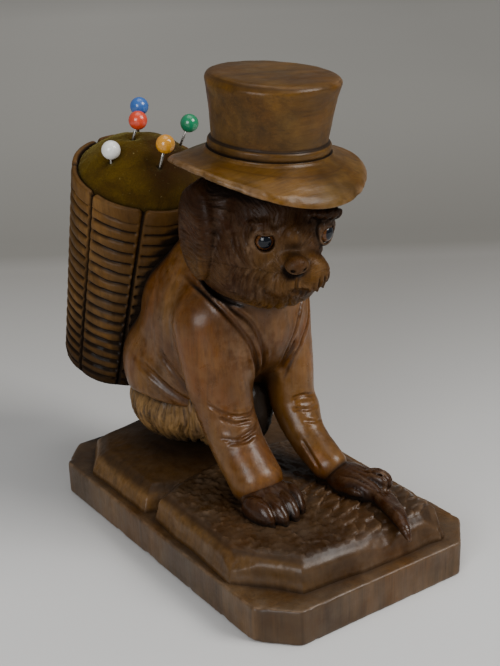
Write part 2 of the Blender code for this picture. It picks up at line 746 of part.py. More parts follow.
def build_carving():
    """Plinth, rock, dog, hat and basket as the one block of wood that they are."""
    carving = build_plinth()
    boolean(carving, [*build_rocks(), build_figure(), build_hat(), build_basket()], "UNION")
    boolean(carving, [build_cup_cutter(), *eye_cutters()], "DIFFERENCE")
    carving.name = "carving"
    return carving


def dress(obj, finish):
    """Gives a piece its material and smooth shading with sharp edges kept."""
    obj.data.materials.clear()
    obj.data.materials.append(finish)
    obj.data.shade_smooth()
    obj.data.set_sharp_from_angle(angle=math.radians(35))


def main():
    clear_scene()
    dress(build_carving(), material("carved_wood", (0.20, 0.095, 0.032), 0.38))
    glass = material("amber_glass", (0.20, 0.08, 0.015), 0.05)
    steel = material("steel", (0.55, 0.55, 0.56), 0.25, 1.0)
    for side, word in ((-1, "right"), (1, "left")):
        dress(ball(eye_centre(side), EYE_RADIUS, "eye_" + word), glass)
        dress(eye_wire(side, GAP, 0, EYE_WIRE_RADIUS, "eye_wire_" + word), steel)
    cushion = build_cushion()
    boolean(cushion, pin_bores(), "DIFFERENCE")
    dress(cushion, material("velvet", (0.13, 0.11, 0.012), 0.9))
    for colour, (_, _, _, paint) in PINS.items():
        ball_head, shaft = build_pin(colour)
        dress(ball_head, material("ball_" + colour, paint, 0.15))
        dress(shaft, steel)


main()
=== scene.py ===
"""The carved dog pincushion, dressed for its photograph.

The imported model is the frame. Every visible piece is worked out with numpy: turned and ribbed
pieces are grids of two parameters, and the carved dog and rocks are skins of distance fields,
which are formulas that give each place its distance from the wood. Lengths are in millimetres
until a mesh is made, where MM turns them into metres. The dog looks along -Y, +X is its left
side, +Z is up and the origin is the middle of the plinth's underside.
"""
import math

import bpy
import numpy as np
from mathutils import Matrix, Vector


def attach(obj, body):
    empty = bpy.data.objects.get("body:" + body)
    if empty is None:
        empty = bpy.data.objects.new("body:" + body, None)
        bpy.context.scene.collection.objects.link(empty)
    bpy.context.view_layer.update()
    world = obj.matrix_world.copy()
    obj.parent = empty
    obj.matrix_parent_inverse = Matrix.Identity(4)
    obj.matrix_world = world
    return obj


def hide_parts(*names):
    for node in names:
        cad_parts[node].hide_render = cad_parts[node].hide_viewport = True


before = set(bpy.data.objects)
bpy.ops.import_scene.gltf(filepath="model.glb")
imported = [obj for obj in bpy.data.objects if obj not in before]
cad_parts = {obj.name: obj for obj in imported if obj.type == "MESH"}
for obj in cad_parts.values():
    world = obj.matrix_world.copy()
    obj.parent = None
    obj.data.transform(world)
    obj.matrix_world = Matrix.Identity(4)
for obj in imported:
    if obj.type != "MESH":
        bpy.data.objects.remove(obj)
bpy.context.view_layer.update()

MM = 0.001

# Sizes that repeat the part's own
PLINTH_WIDTH, PLINTH_LENGTH, PLINTH_THICKNESS = 53.4, 87.5, 7.8
PLINTH_CORNER = (6.6, 6.9)
PLINTH_SKEW = 1.2
ROCK_TOP = 14.2
HEM_HEIGHT = 13.2
HEAD_FORWARD, HEAD_HEIGHT = 4.5, 55.0
FACE_TURN = math.radians(-18.0)
EYE_TURN = {-1: math.radians(-14), 1: math.radians(36)}
EYE_SPACING, EYE_RADIUS, EYE_FORWARD, EYE_RISE, EYE_ASIDE = 11.8, 2.0, 14.6, 2.4, 3.0
HAT_SEAT = np.array([-0.1, -9.8, ROCK_TOP + HEAD_HEIGHT + 16.4])
HAT_LEAN = (math.radians(3.7), math.radians(3.4))
BRIM_RADIUS, BRIM_THICKNESS = 19.1, 1.3
CROWN_HEIGHT, CROWN_FOOT, CROWN_TOP = 15.4, 11.3, 12.9
BASKET_RIM_MIDDLE = np.array([-4.0, 30.9, ROCK_TOP + 60.6])
BASKET_LEAN = math.radians(20.6)
BASKET_LENGTH, BASKET_RIM, BASKET_FOOT = 52.7, 16.2, 13.3
BASKET_PANELS, BASKET_RIBS = 8, 16
BASKET_FIRST_SEAM = math.radians(13.6)
RIM_BAND, FOOT_BAND = 3.4, 2.6
CUP_DEPTH = 24.0
DOME_HEIGHT, DOME_POWER, DOME_BELOW_RIM = 7.4, 2.2, 0.8
CUP_LIP = BASKET_RIM - 1.3
PIN_HEAD_RADIUS, PIN_SHAFT_RADIUS, PIN_SHAFT_LENGTH = 2.03, 0.3, 20.0
PINS = {
    "red": ((-1.5, 3.8), (0.08, -0.06), 4.1),
    "yellow": ((-0.9, -6.6), (0.06, -0.05), 5.1),
    "white": ((-9.0, 0.1), (-0.1, 0.06), 2.4),
    "green": ((9.8, 1.7), (0.14, -0.14), 5.8),
    "blue": ((2.6, 8.4), (-0.07, 0.04), 6.2),
}

# Fineness of the carved skins
COAT_STEP = 0.42
HEAD_STEP = 0.27
ROCK_STEP = 0.4
PAW_STEP = 0.28
NAIL_STEP = 0.2


# Noise and small formulas

def lattice(ix, iy, iz, seed):
    """A fixed number from 0 to 1 for each whole-number place: the fraction of a large sine."""
    n = ix * 127.1 + iy * 311.7 + iz * 74.7 + seed * 53.3
    s = np.sin(n) * 43758.5453
    return s - np.floor(s)


def grainy(p, size, seed=0.0):
    """Smooth noise from -1 to 1: the lattice's numbers blended over cells of that size."""
    q = p / np.asarray(size, dtype=float)
    i = np.floor(q)
    f = q - i
    w = f * f * (3 - 2 * f)
    total = 0.0
    for dx in (0, 1):
        for dy in (0, 1):
            for dz in (0, 1):
                part = lattice(i[..., 0] + dx, i[..., 1] + dy, i[..., 2] + dz, seed)
                wx = w[..., 0] if dx else 1 - w[..., 0]
                wy = w[..., 1] if dy else 1 - w[..., 1]
                wz = w[..., 2] if dz else 1 - w[..., 2]
                total = total + part * wx * wy * wz
    return total * 2 - 1


def rough(p, size, seed=0.0, octaves=3):
    """Sum of noises, each half the size and half the strength of the one before."""
    total = 0.0
    scale = np.asarray(size, dtype=float)
    for k in range(octaves):
        total = total + grainy(p, scale / 2 ** k, seed + 7 * k) * 0.5 ** k
    return total / 1.6


def scoops(x, y, pitch, seed=0.0):
    """Overlapping gouge marks: distance to the nearest of many jittered places, 0 to about 1."""
    u, v = x / pitch, y / pitch
    iu, iv = np.floor(u), np.floor(v)
    nearest = np.full(np.shape(u), 9.0)
    for du in (-1, 0, 1):
        for dv in (-1, 0, 1):
            cu, cv = iu + du, iv + dv
            ju = cu + lattice(cu, cv, 1.0, seed)
            jv = cv + lattice(cu, cv, 2.0, seed)
            nearest = np.minimum(nearest, np.hypot(u - ju, v - jv))
    return nearest


def chisel_steps(x, y, pitch, seed=0.0):
    """Overlapping tilted flakes: a place's height is how far along X it lies from its own flake's middle."""
    u, v = x / pitch, y / pitch
    iu, iv = np.floor(u), np.floor(v)
    nearest = np.full(np.shape(u), 9.0)
    height = np.zeros(np.shape(u))
    for du in (-1, 0, 1):
        for dv in (-1, 0, 1):
            cu, cv = iu + du, iv + dv
            ju = u - cu - lattice(cu, cv, 1.0, seed)
            jv = v - cv - lattice(cu, cv, 2.0, seed)
            gap = np.hypot(ju, jv)
            height = np.where(gap < nearest, ju + 0.5 * lattice(cu, cv, 3.0, seed) - 0.25, height)
            nearest = np.minimum(nearest, gap)
    return height


def smooth_step(x, low, high):
    """0 below low, 1 above high, and an S-curve between."""
    t = np.clip((x - low) / (high - low), 0, 1)
    return t * t * (3 - 2 * t)


def bell(x, width):
    """A bell curve: 1 at 0, falling off over that width."""
    return np.exp(-(x / width) ** 2)


def through(points, steps=8):
    """Closely spaced places on one smooth curve through the points."""
    p = np.asarray(points, dtype=float)
    p = np.vstack([2 * p[0] - p[1], p, 2 * p[-1] - p[-2]])
    t = np.linspace(0, 1, steps, endpoint=False)[:, None]
    runs = []
    for a, b, c, d in zip(p, p[1:], p[2:], p[3:]):
        runs.append(b + 0.5 * t * (c - a + t * (2 * a - 5 * b + 4 * c - d + t * (3 * (b - c) + d - a))))
    return np.vstack([*runs, p[-2:-1]])


# Distance fields

def egg(p, centre, radii, turn=0.0, tip=0.0):
    """Near distance to an ellipsoid: k0 (k0 - 1) / k1, k0 and k1 the lengths of p/r and p/r squared."""
    q = p - np.asarray(centre, dtype=float)
    if turn:
        c, s = math.cos(turn), math.sin(turn)
        q = np.stack([q[..., 0] * c + q[..., 1] * s, -q[..., 0] * s + q[..., 1] * c, q[..., 2]], -1)
    if tip:
        c, s = math.cos(tip), math.sin(tip)
        q = np.stack([q[..., 0], q[..., 1] * c + q[..., 2] * s, -q[..., 1] * s + q[..., 2] * c], -1)
    a = q / np.asarray(radii, dtype=float)
    k0 = np.sqrt((a * a).sum(-1))
    a = a / np.asarray(radii, dtype=float)
    k1 = np.sqrt((a * a).sum(-1))
    return k0 * (k0 - 1) / np.maximum(k1, 1e-6)


def limb(p, path, radii):
    """Distance to a round limb along a smooth curve, its radius changing evenly between places."""
    line = through(path, 4)
    share = np.linspace(0, len(radii) - 1, len(line))
    thick = np.interp(share, range(len(radii)), radii)
    best = np.full(p.shape[:-1], 99.0)
    for a, b, ra, rb in zip(line, line[1:], thick, thick[1:]):
        run = b - a
        t = np.clip(((p - a) @ run) / (run @ run), 0, 1)
        gap = np.linalg.norm(p - a - t[..., None] * run, axis=-1) - (ra + (rb - ra) * t)
        best = np.minimum(best, gap)
    return best


def melt(a, b, soft):
    """The nearer of two distances, with the meeting rounded over that length."""
    h = np.maximum(soft - np.abs(a - b), 0) / soft
    return np.minimum(a, b) - h * h * soft * 0.25


def cut_away(a, b, soft):
    """The first solid without the second, with the edge rounded over that length."""
    return -melt(-a, b, soft)


def line_gap(p, line):
    """Distance to a line of straight pieces, and the share of the way along it."""
    best = np.full(len(p), 99.0)
    where = np.zeros(len(p))
    for i, (a, b) in enumerate(zip(line, line[1:])):
        run = b - a
        t = np.clip(((p - a) @ run) / (run @ run), 0, 1)
        gap = np.linalg.norm(p - a - t[:, None] * run, axis=1)
        near = gap < best
        best = np.where(near, gap, best)
        where = np.where(near, (i + t) / (len(line) - 1), where)
    return best, where


def cut_line(p, d, line, depth, width, lip=0.3):
    """Presses a knife cut into a field: a bell-shaped groove along a line, with a small raised lip."""
    close = np.flatnonzero(np.all((p > line.min(0) - 3) & (p < line.max(0) + 3), axis=1) & (np.abs(d) < 4))
    if not len(close):
        return d
    gap, where = line_gap(p[close], line)
    fade = np.minimum(1, 7 * np.minimum(where, 1 - where) + 0.15)
    d[close] += fade * depth * (bell(gap, width) - lip * bell(gap - 2.1 * width, width))
    return d


def onto(field, points, turns=6):
    """Moves places onto the skin of a field, along its slope."""
    p = np.array(points, dtype=float)
    for _ in range(turns):
        p -= field(p)[:, None] * slope(field, p)
    return p


def slope(field, p, h=0.15):
    """Unit outward direction: differences of the field along X, Y and Z."""
    g = np.empty_like(p)
    for k in range(3):
        step = np.zeros(3)
        step[k] = h
        g[:, k] = field(p + step) - field(p - step)
    return g / np.maximum(np.linalg.norm(g, axis=1, keepdims=True), 1e-9)


# Skins of fields

def sampled(field, low, high, step, block=8):
    """The field on a grid of places, worked out only in blocks that the skin can reach."""
    low = np.asarray(low, dtype=float)
    counts = np.ceil((np.asarray(high) - low) / (step * block)).astype(int)
    corner = np.stack(np.meshgrid(*[np.arange(c) for c in counts], indexing="ij"), -1).reshape(-1, 3)
    middles = low + (corner + 0.5) * block * step - step / 2
    rough_d = field(middles)
    values = np.repeat(np.sign(rough_d)[:, None] * 9.0, block ** 3, axis=1)
    reach = block * step * 0.87 + 2.2
    inner = np.stack(np.meshgrid(*[np.arange(block)] * 3, indexing="ij"), -1).reshape(-1, 3)
    near = np.flatnonzero(np.abs(rough_d) < reach * 1.25)
    for some in np.array_split(near, max(1, len(near) // 500)):
        places = low + (corner[some][:, None] * block + inner[None]) * step
        values[some] = field(places.reshape(-1, 3)).reshape(len(some), -1)
    values = values.reshape(*counts, block, block, block)
    return values.transpose(0, 3, 1, 4, 2, 5).reshape(*(counts * block)), low


def skin(values, low, step):
    """Vertices and four-sided faces where the grid's values change sign, one vertex in each such cell."""
    inside = values < 0
    nx, ny, nz = (count - 1 for count in values.shape)
    cells = np.zeros((nx, ny, nz), dtype=int)
    for dx in (0, 1):
        for dy in (0, 1):
            for dz in (0, 1):
                cells += inside[dx:nx + dx, dy:ny + dy, dz:nz + dz]
    live = np.argwhere((cells > 0) & (cells < 8))
    number = np.full(cells.shape, -1)
    number[tuple(live.T)] = np.arange(len(live))
    total = np.zeros((len(live), 3))
    hits = np.zeros(len(live))
    for axis in range(3):
        side = [k for k in range(3) if k != axis]
        for da in (0, 1):
            for db in (0, 1):
                start = np.zeros(3, dtype=int)
                start[side[0]], start[side[1]] = da, db
                end = start.copy()
                end[axis] = 1
                va = values[tuple((live + start).T)]
                vb = values[tuple((live + end).T)]
                crosses = (va < 0) != (vb < 0)
                t = np.where(crosses, va / np.where(crosses, va - vb, 1), 0)
                total += crosses[:, None] * (start + t[:, None] * (end - start))
                hits += crosses
    verts = low + (live + total / hits[:, None]) * step
    faces = []
    for axis in range(3):
        a, b = [k for k in range(3) if k != axis]
        cut = [slice(1, n - 1) for n in values.shape]
        here, there = list(cut), list(cut)
        here[axis], there[axis] = slice(0, values.shape[axis] - 1), slice(1, values.shape[axis])
        crosses = np.argwhere(inside[tuple(here)] != inside[tuple(there)])
        offset = np.ones(3, dtype=int)
        offset[axis] = 0
        at = crosses + offset
        ea, eb = np.zeros(3, dtype=int), np.zeros(3, dtype=int)
        ea[a], eb[b] = 1, 1
        quad = np.stack([number[tuple(c.T)] for c in (at - ea - eb, at - eb, at, at - ea)], 1)
        going_in = inside[tuple(at.T)]
        flip = going_in if axis != 1 else ~going_in
        quad = np.where(flip[:, None], quad, quad[:, ::-1])
        faces.append(quad[(quad >= 0).all(1)])
    return verts, np.vstack(faces)


# Making pieces

def make_piece(name, verts, quads, tris=None, numbers=None, vectors=None):
    """Puts places (mm) and faces into a mesh of its own, with numbers and vectors for its vertices."""
    tris = np.empty((0, 3), dtype=int) if tris is None else tris
    corners = np.concatenate([quads.ravel(), tris.ravel()])
    starts = np.concatenate([np.arange(len(quads)) * 4, len(quads) * 4 + np.arange(len(tris)) * 3])
    mesh = bpy.data.meshes.new(name)
    mesh.vertices.add(len(verts))
    mesh.vertices.foreach_set("co", (verts * MM).ravel())
    mesh.loops.add(len(corners))
    mesh.loops.foreach_set("vertex_index", corners)
    mesh.polygons.add(len(starts))
    mesh.polygons.foreach_set("loop_start", starts)
    mesh.update(calc_edges=True)
    mesh.shade_smooth()
    for word, values in (numbers or {}).items():
        layer = mesh.attributes.new(word, "FLOAT", "POINT")
        layer.data.foreach_set("value", np.asarray(values, dtype=np.float32))
    for word, values in (vectors or {}).items():
        layer = mesh.attributes.new(word, "FLOAT_VECTOR", "POINT")
        layer.data.foreach_set("vector", np.asarray(values, dtype=np.float32).ravel())
    piece = bpy.data.objects.new(name, mesh)
    bpy.context.scene.collection.objects.link(piece)
    return piece


def corners_of(rows, around):
    """Faces of a grid of rows that each go round once, with one point closing each end."""
    i, j = np.meshgrid(np.arange(rows - 1), np.arange(around), indexing="ij")
    a = (i * around + j).ravel()
    b = (i * around + (j + 1) % around).ravel()
    quads = np.stack([a, b, b + around, a + around], 1)
    ring = np.arange(around)
    first, last = rows * around, rows * around + 1
    top = (rows - 1) * around
    tris = np.vstack([
        np.stack([(ring + 1) % around, ring, np.full(around, first)], 1),
        np.stack([top + ring, top + (ring + 1) % around, np.full(around, last)], 1),
    ])
    return quads, tris


def volume_of(verts, quads, tris):
    """Signed volume of a closed piece: a sixth of the sum of each corner triangle's triple product."""
    t = np.vstack([quads[:, [0, 1, 2]], quads[:, [0, 2, 3]], tris])
    a, b, c = verts[t[:, 0]], verts[t[:, 1]], verts[t[:, 2]]
    return float((a * np.cross(b, c)).sum() / 6)


def wrapped(name, grid, numbers=None, vectors=None):
    """A closed piece from a grid (rows, around, 3) of places, with its faces pointing out."""
    rows, around = grid.shape[:2]
    verts = np.vstack([grid.reshape(-1, 3), grid[0].mean(0), grid[-1].mean(0)])
    quads, tris = corners_of(rows, around)
    if volume_of(verts, quads, tris) < 0:
        quads, tris = quads[:, ::-1], tris[:, ::-1]

    def spread(values):
        """The grid's values as a list of vertices, each end point with the mean of its ring."""
        flat = values.reshape(rows * around, -1)
        ends = np.stack([flat[:around].mean(0), flat[-around:].mean(0)])
        return np.squeeze(np.vstack([flat, ends]))

    numbers = {word: spread(v) for word, v in (numbers or {}).items()}
    vectors = {word: spread(v) for word, v in (vectors or {}).items()}
    return make_piece(name, verts, quads, tris, numbers, vectors)


def normals_of(grid):
    """Unit directions across a grid: the cross product of its two differences."""
    down = np.gradient(grid, axis=0)
    padded = np.concatenate([grid[:, -1:], grid, grid[:, :1]], axis=1)
    along = (padded[:, 2:] - padded[:, :-2]) / 2
    n = np.cross(along, down)
    return n / np.maximum(np.linalg.norm(n, axis=2, keepdims=True), 1e-9)


def leaning(lean_forward, lean_left):
    """Across, along and up directions, as rows, of something that leans towards -Y and +X."""
    up = np.array([math.sin(lean_left), -math.sin(lean_forward), math.cos(lean_forward)])
    up = up / np.linalg.norm(up)
    across = np.array([1.0, 0, 0]) - up * up[0]
    across = across / np.linalg.norm(across)
    return np.stack([across, np.cross(up, across), up])


# The wood's masses

AHEAD = np.array([math.sin(FACE_TURN), -math.cos(FACE_TURN), 0.0])
ASIDE = np.array([math.cos(FACE_TURN), math.sin(FACE_TURN), 0.0])
HEAD = np.array([0.0, -HEAD_FORWARD, ROCK_TOP + HEAD_HEIGHT])


def up_rock(x, y, z):
    """A place given by its height above the rock."""
    return np.array([x, y, ROCK_TOP + z])


def in_face(left, forward, rise):
    """A place given from the middle of the head along the turned face's directions."""
    return HEAD + AHEAD * forward + ASIDE * left + np.array([0, 0, rise])


def face_frame(p):
    """Each place's left, forward and rise in the turned face."""
    q = p - HEAD
    return q @ ASIDE, q @ AHEAD, q[..., 2]


def ring_gap(p, centre, axis, radius, thick):
    """Distance to a round ring: the gap to its circle less its thickness."""
    q = p - centre
    h = q @ axis
    r = np.linalg.norm(q - h[..., None] * axis, axis=-1)
    return np.hypot(r - radius, h) - thick


RIGHT_SLEEVE = [up_rock(*q) for q in (
    (-9.3, 0, 36), (-9.3, -2.8, 24), (-9.2, -5, 16.5), (-9.0, -8.6, 10.4), (-8.8, -13.9, 4.9))]
LEFT_SLEEVE = [up_rock(*q) for q in (
    (8.4, 0, 36), (8.6, -2.5, 24), (8.6, -4.2, 14.5), (8.2, -10, 7.9), (8.4, -16.8, 3.7))]

# Cut lines of the coat: places across, along and above the rock, laid onto the skin before they are cut
LAPELS = {
    "right outer": [
        (-10.2, 7.5, 44.6), (-11, -2.1, 43), (-9.5, -6.8, 39.7), (-7.3, -9.3, 35.7), (-5.4, -9.9, 31.7),
        (-3.1, -7.4, 25.3), (-2.4, -6, 20)],
    "right inner": [
        (-8.7, -6.4, 41.5), (-6.1, -9.6, 38.3), (-4.4, -10.7, 34.7), (-3, -10.4, 30.3), (-1.6, -8, 24)],
    "left outer": [
        (10.2, 7.5, 44.6), (11.5, -2, 41), (10.7, -6.8, 33.5), (8.2, -7.9, 30), (6, -7.6, 26.4),
        (4.2, -6.7, 21)],
    "left inner": [
        (9.5, -6.5, 40), (7.3, -9.2, 36.5), (4.8, -10.2, 32.1), (3.4, -9.7, 28.8), (2.6, -7, 22.7)],
}
COAT_FOLDS = [
    [(-15.3, 19.5, 22.4), (-14.5, 14.6, 20), (-12.8, 11.4, 17.5), (-11.1, 8.6, 15.4), (-10, 6, 13.8)],
    [(-14.5, 12.6, 26.1), (-13.9, 9, 22.9), (-11.7, 6.1, 18.6), (-10.6, 4, 15.6)],
    [(-13.4, 5.8, 31.0), (-13.6, 3.8, 26.5), (-12.4, 2.2, 21.5)],
    [(15.3, 18.8, 22.1), (14.3, 13.6, 19.5), (12.6, 9.8, 17), (11, 6.6, 15)],
    [(14.5, 12.6, 26.1), (13.7, 9, 22.4), (11.7, 5.6, 18)],
    [(3.0, -9, 22), (4.2, -8.6, 26), (5.6, -9.2, 31)],
]
SLEEVE_FOLDS = [
    [(-14.9, -6.2, 21.6), (-12.5, -9.6, 19.2), (-7.7, -10.6, 18.0), (-4.6, -8.6, 18.6)],
    [(-13.6, -8.7, 18.7), (-11.1, -10.7, 17.2), (-7.2, -10.9, 16.7)],
    [(-14.2, -9.2, 14.2), (-11.7, -11.8, 14.3), (-6.6, -11.3, 15.2), (-4.8, -9.6, 16.2)],
    [(-13.0, -10.6, 13.2), (-10.4, -12.6, 13.4), (-7.4, -12.2, 14.1)],
    [(5.6, -8, 16.6), (8.3, -8.8, 17), (11.4, -8.1, 15.9)],
    [(5.2, -8.8, 14.7), (8.4, -10.4, 14.3), (11.4, -9.4, 13.9)],
    [(6.6, -11.0, 12.2), (9, -12.2, 11.9), (11.2, -11.4, 11.2)],
    [(4.6, -12.5, 9.0), (5.0, -15.5, 6.4), (5.4, -18.0, 4.2)],
]


def coat_mass(p):
    """The coat's body and sleeves before any cut."""
    skirt = egg(p, up_rock(-1.4, 21.3, 18), (14.8, 15.4, 15))
    skirt = melt(skirt, egg(p, up_rock(-0.8, 12, 27), (13.0, 13.8, 18.2)), 2.5)
    skirt = melt(skirt, egg(p, up_rock(-1.4, 18, 31), (11.4, 12.2, 14.4)), 3)
    wave = 0.5 * np.sin(p[..., 0] * 0.33 + 0.6) + 0.35 * np.sin(p[..., 1] * 0.41)
    hem = ROCK_TOP + HEM_HEIGHT + 0.1 + wave - p[..., 2]
    skirt = -melt(-skirt, -hem, 1.0)
    trunk = egg(p, up_rock(0, 1, 35), (12.8, 12.1, 13.6))
    trunk = melt(trunk, egg(p, up_rock(0, 11, 39), (10.8, 12.2, 12.4)), 3.5)
    trunk = melt(trunk, egg(p, up_rock(-0.6, 9, 33), (12.6, 13.9, 13.4)), 3)
    trunk = melt(trunk, egg(p, up_rock(0, -2, 42.5), (10.1, 8.3, 7.9)), 3)
    body = melt(skirt, trunk, 2.5)
    right = limb(p, RIGHT_SLEEVE, [7.5, 6.9, 5.9, 5.5, 5.7])
    left = limb(p, LEFT_SLEEVE, [6.9, 5.8, 4.9, 4.2, 3.9])
    left = melt(left, egg(p, up_rock(10.4, -6.4, 12.4), (2.4, 2.6, 2.8)), 2.5)
    return melt(body, np.minimum(right, left), 3.2)


def coat_lines():
    """Every cut of the coat, laid onto its skin: (line, depth, width)."""
    made = []
    for line in LAPELS.values():
        made.append((line, 0.62, 0.42))
    for line in COAT_FOLDS:
        made.append((line, 0.85, 0.75))
    for line in SLEEVE_FOLDS:
        made.append((line, 0.5, 0.34))
    return [(onto(coat_mass, through([up_rock(*q) for q in line], 5)), d, w) for line, d, w in made]


COAT_CUTS = coat_lines()


def coat_field(p):
    """The coat with its lapels and folds cut, and the slight facets that the knife left."""
    d = coat_mass(p)
    for line, depth, width in COAT_CUTS:
        d = cut_line(p, d, line, depth, width)
    gap = np.maximum(head_mass(p) - 0.9, 8.0 - np.hypot(p[..., 0] - HEAD[0], p[..., 1] - HEAD[1]))
    d = cut_away(d, gap, 0.5)
    near = np.flatnonzero(np.abs(d) < 1.5)
    d[near] += 0.16 * grainy(p[near], (5.5, 5.5, 9), 3) + 0.05 * grainy(p[near], (1.6, 1.6, 4), 5)
    return d


HAUNCH = up_rock(-1.4, 21.3, 9.5)


def haunch_field(p):
    """The hairy rump: upright tufts round its axis, each split into finer locks that wander a little."""
    d = melt(egg(p, HAUNCH, (13.9, 14.5, 10.5)), egg(p, up_rock(-0.5, 8, 12), (9.9, 12, 11)), 3)
    near = np.flatnonzero(np.abs(d) < 2.5)
    q = p[near]
    around = np.arctan2(q[:, 1] - HAUNCH[1] + 3, q[:, 0] - HAUNCH[0]) * 13.5
    wander = 1.6 * grainy(q, (5, 5, 4), 11) + 0.7 * grainy(q, (2, 2, 2.5), 12)
    tuft = np.abs(np.sin((around + wander) * math.pi / 4.6))
    lock = np.abs(np.sin((around + 1.4 * wander + 0.05 * q[:, 2]) * math.pi / 1.45))
    low = smooth_step(ROCK_TOP + 9 - q[:, 2], 0, 6)
    cuts = np.maximum(grainy(np.stack([around / 0.75, q[:, 2] / 3.6, around * 0], 1), 1.0, 14), 0) ** 0.8
    d[near] += 0.65 * (1 - tuft) ** 3 * (0.2 + low) + 0.16 * (1 - lock) ** 1.5 + 0.55 * cuts
    return d


def muzzle_glow(p):
    """Where the face is rubbed to a lighter brown: muzzle and bridge, the ears' tips and the chin."""
    left, forward, rise = face_frame(p)
    front = bell(np.hypot((left - 1.5) / 7.0, (rise + 2.0) / 6.5), 1) * smooth_step(forward, 9, 15)
    tips = bell(rise + 6, 4.0) * smooth_step(np.abs(p[:, 0]), 11.5, 13)
    chin = smooth_step(-rise, 8, 11.5) * smooth_step(forward, 4, 10)
    glow = np.clip(0.62 * front + 0.35 * tips + 0.4 * chin, 0, 1)
    return glow * (1 - 0.9 * nose_share(p))


def nose_share(p):
    """1 on the nose pad, falling to 0 round it."""
    return bell(np.linalg.norm(p - NOSE - AHEAD * 0.9, axis=1) / 2.4, 1)


def head_shade_and_stain(p):
    """Painted shade on the crown of the head under the hat, and the darker wax of the nose."""
    return np.maximum(0.34 * smooth_step(p[:, 2] - HEAD[2], 1.5, 8), 0.24 * nose_share(p))


def haunch_hair(p):
    """Across and along the hairs of the rump, for the fine strokes of its finish."""
    around = np.arctan2(p[:, 1] - HAUNCH[1] + 3, p[:, 0] - HAUNCH[0]) * 13.5
    return np.stack([around + 0.9 * grainy(p, (5, 5, 4), 11), p[:, 2] * 0.16, np.zeros(len(p))], 1)


# Head

NOSE = in_face(1.3, 20.2, -1.3)


def eye_place(side):
    """Middle of an eyeball."""
    return in_face(EYE_ASIDE + side * EYE_SPACING / 2, EYE_FORWARD, EYE_RISE)


def eye_axis(side):
    """Direction in which an eye looks, turned outwards from the face."""
    turn = EYE_TURN[side]
    return AHEAD * math.cos(turn) + ASIDE * math.sin(turn)


def ear_field(p, side):
    """A hanging ear: a flat rounded leaf that narrows to its tip, with a shallow hollow inside its rim."""
    middle = HEAD + np.array([side * 12.9, 1.9, 1.6])
    leaf = egg(p, middle, (2.3, 6.0, 9.2), side * 0.06, 0.10)
    lobe = egg(p, middle + np.array([side * 0.2, -2.3, -5.6]), (1.7, 2.7, 4.1), side * 0.12, 0.34)
    leaf = melt(leaf, lobe, 1.6)
    root = egg(p, HEAD + np.array([side * 8.2, 1.6, 6.0]), (5.9, 6.6, 6.2))
    leaf = melt(leaf, root, 2.5)
    dish = egg(p, middle + np.array([side * 2.8, 0.0, -2.4]), (1.2, 4.0, 6.4), side * 0.06, 0.10)
    return cut_away(leaf, dish, 0.9)


def head_mass(p):
    """Skull, cheeks, beard, muzzle and brows melted together, before the hair is cut."""
    d = egg(p, HEAD, (12.9, 13.5, 12.5))
    d = melt(d, egg(p, in_face(1.8, 9.3, -1.4), (10.4, 8.6, 9.0), FACE_TURN), 3)
    d = melt(d, egg(p, in_face(2.4, 7.0, 6.5), (10.6, 9.0, 7.0), FACE_TURN), 3)
    d = melt(d, egg(p, in_face(0.6, 9.2, -7.6), (9.0, 8.4, 5.7), FACE_TURN), 3)
    for side in (-1, 1):
        orbit = in_face(EYE_ASIDE + side * EYE_SPACING * 0.43, EYE_FORWARD - 3.4, EYE_RISE + 0.3)
        d = melt(d, egg(p, orbit, (3.9, 4.4, 4.2), FACE_TURN), 1.6)
        d = melt(d, egg(p, HEAD + np.array([side * 6.5, -1, -5]), (6.6, 8.2, 7.4)), 3)
    d = melt(d, egg(p, in_face(1.9, 15.8, 3.2), (2.3, 3.2, 2.7), FACE_TURN), 2.6)
    d = melt(d, egg(p, in_face(4.1, 17.6, -2.6), (3.2, 3.0, 2.6), FACE_TURN), 1.4)
    d = melt(d, egg(p, in_face(1.6, 15.6, -1.6), (3.2, 3.4, 2.6), FACE_TURN), 1.8)
    d = melt(d, egg(p, in_face(1.6, 16.0, -4.6), (5.0, 4.2, 4.2), FACE_TURN), 2)
    hollow = egg(p, in_face(12.6, 12.6, -2.6), (4.6, 5.4, 4.0), FACE_TURN)
    return cut_away(d, hollow, 3.0)


# Each tuft of the brows: its side, its place in the face and its radii
BROWS = [
    (1, (8.8, 15.6, 6.6), (3.4, 2.2, 1.3)), (1, (10.7, 15.0, 6.1), (1.8, 1.8, 1.3)),
    (-1, (-2.8, 15.1, 5.9), (1.5, 0.8, 0.6)), (-1, (-4.7, 14.3, 5.7), (1.1, 0.8, 0.5)),
]


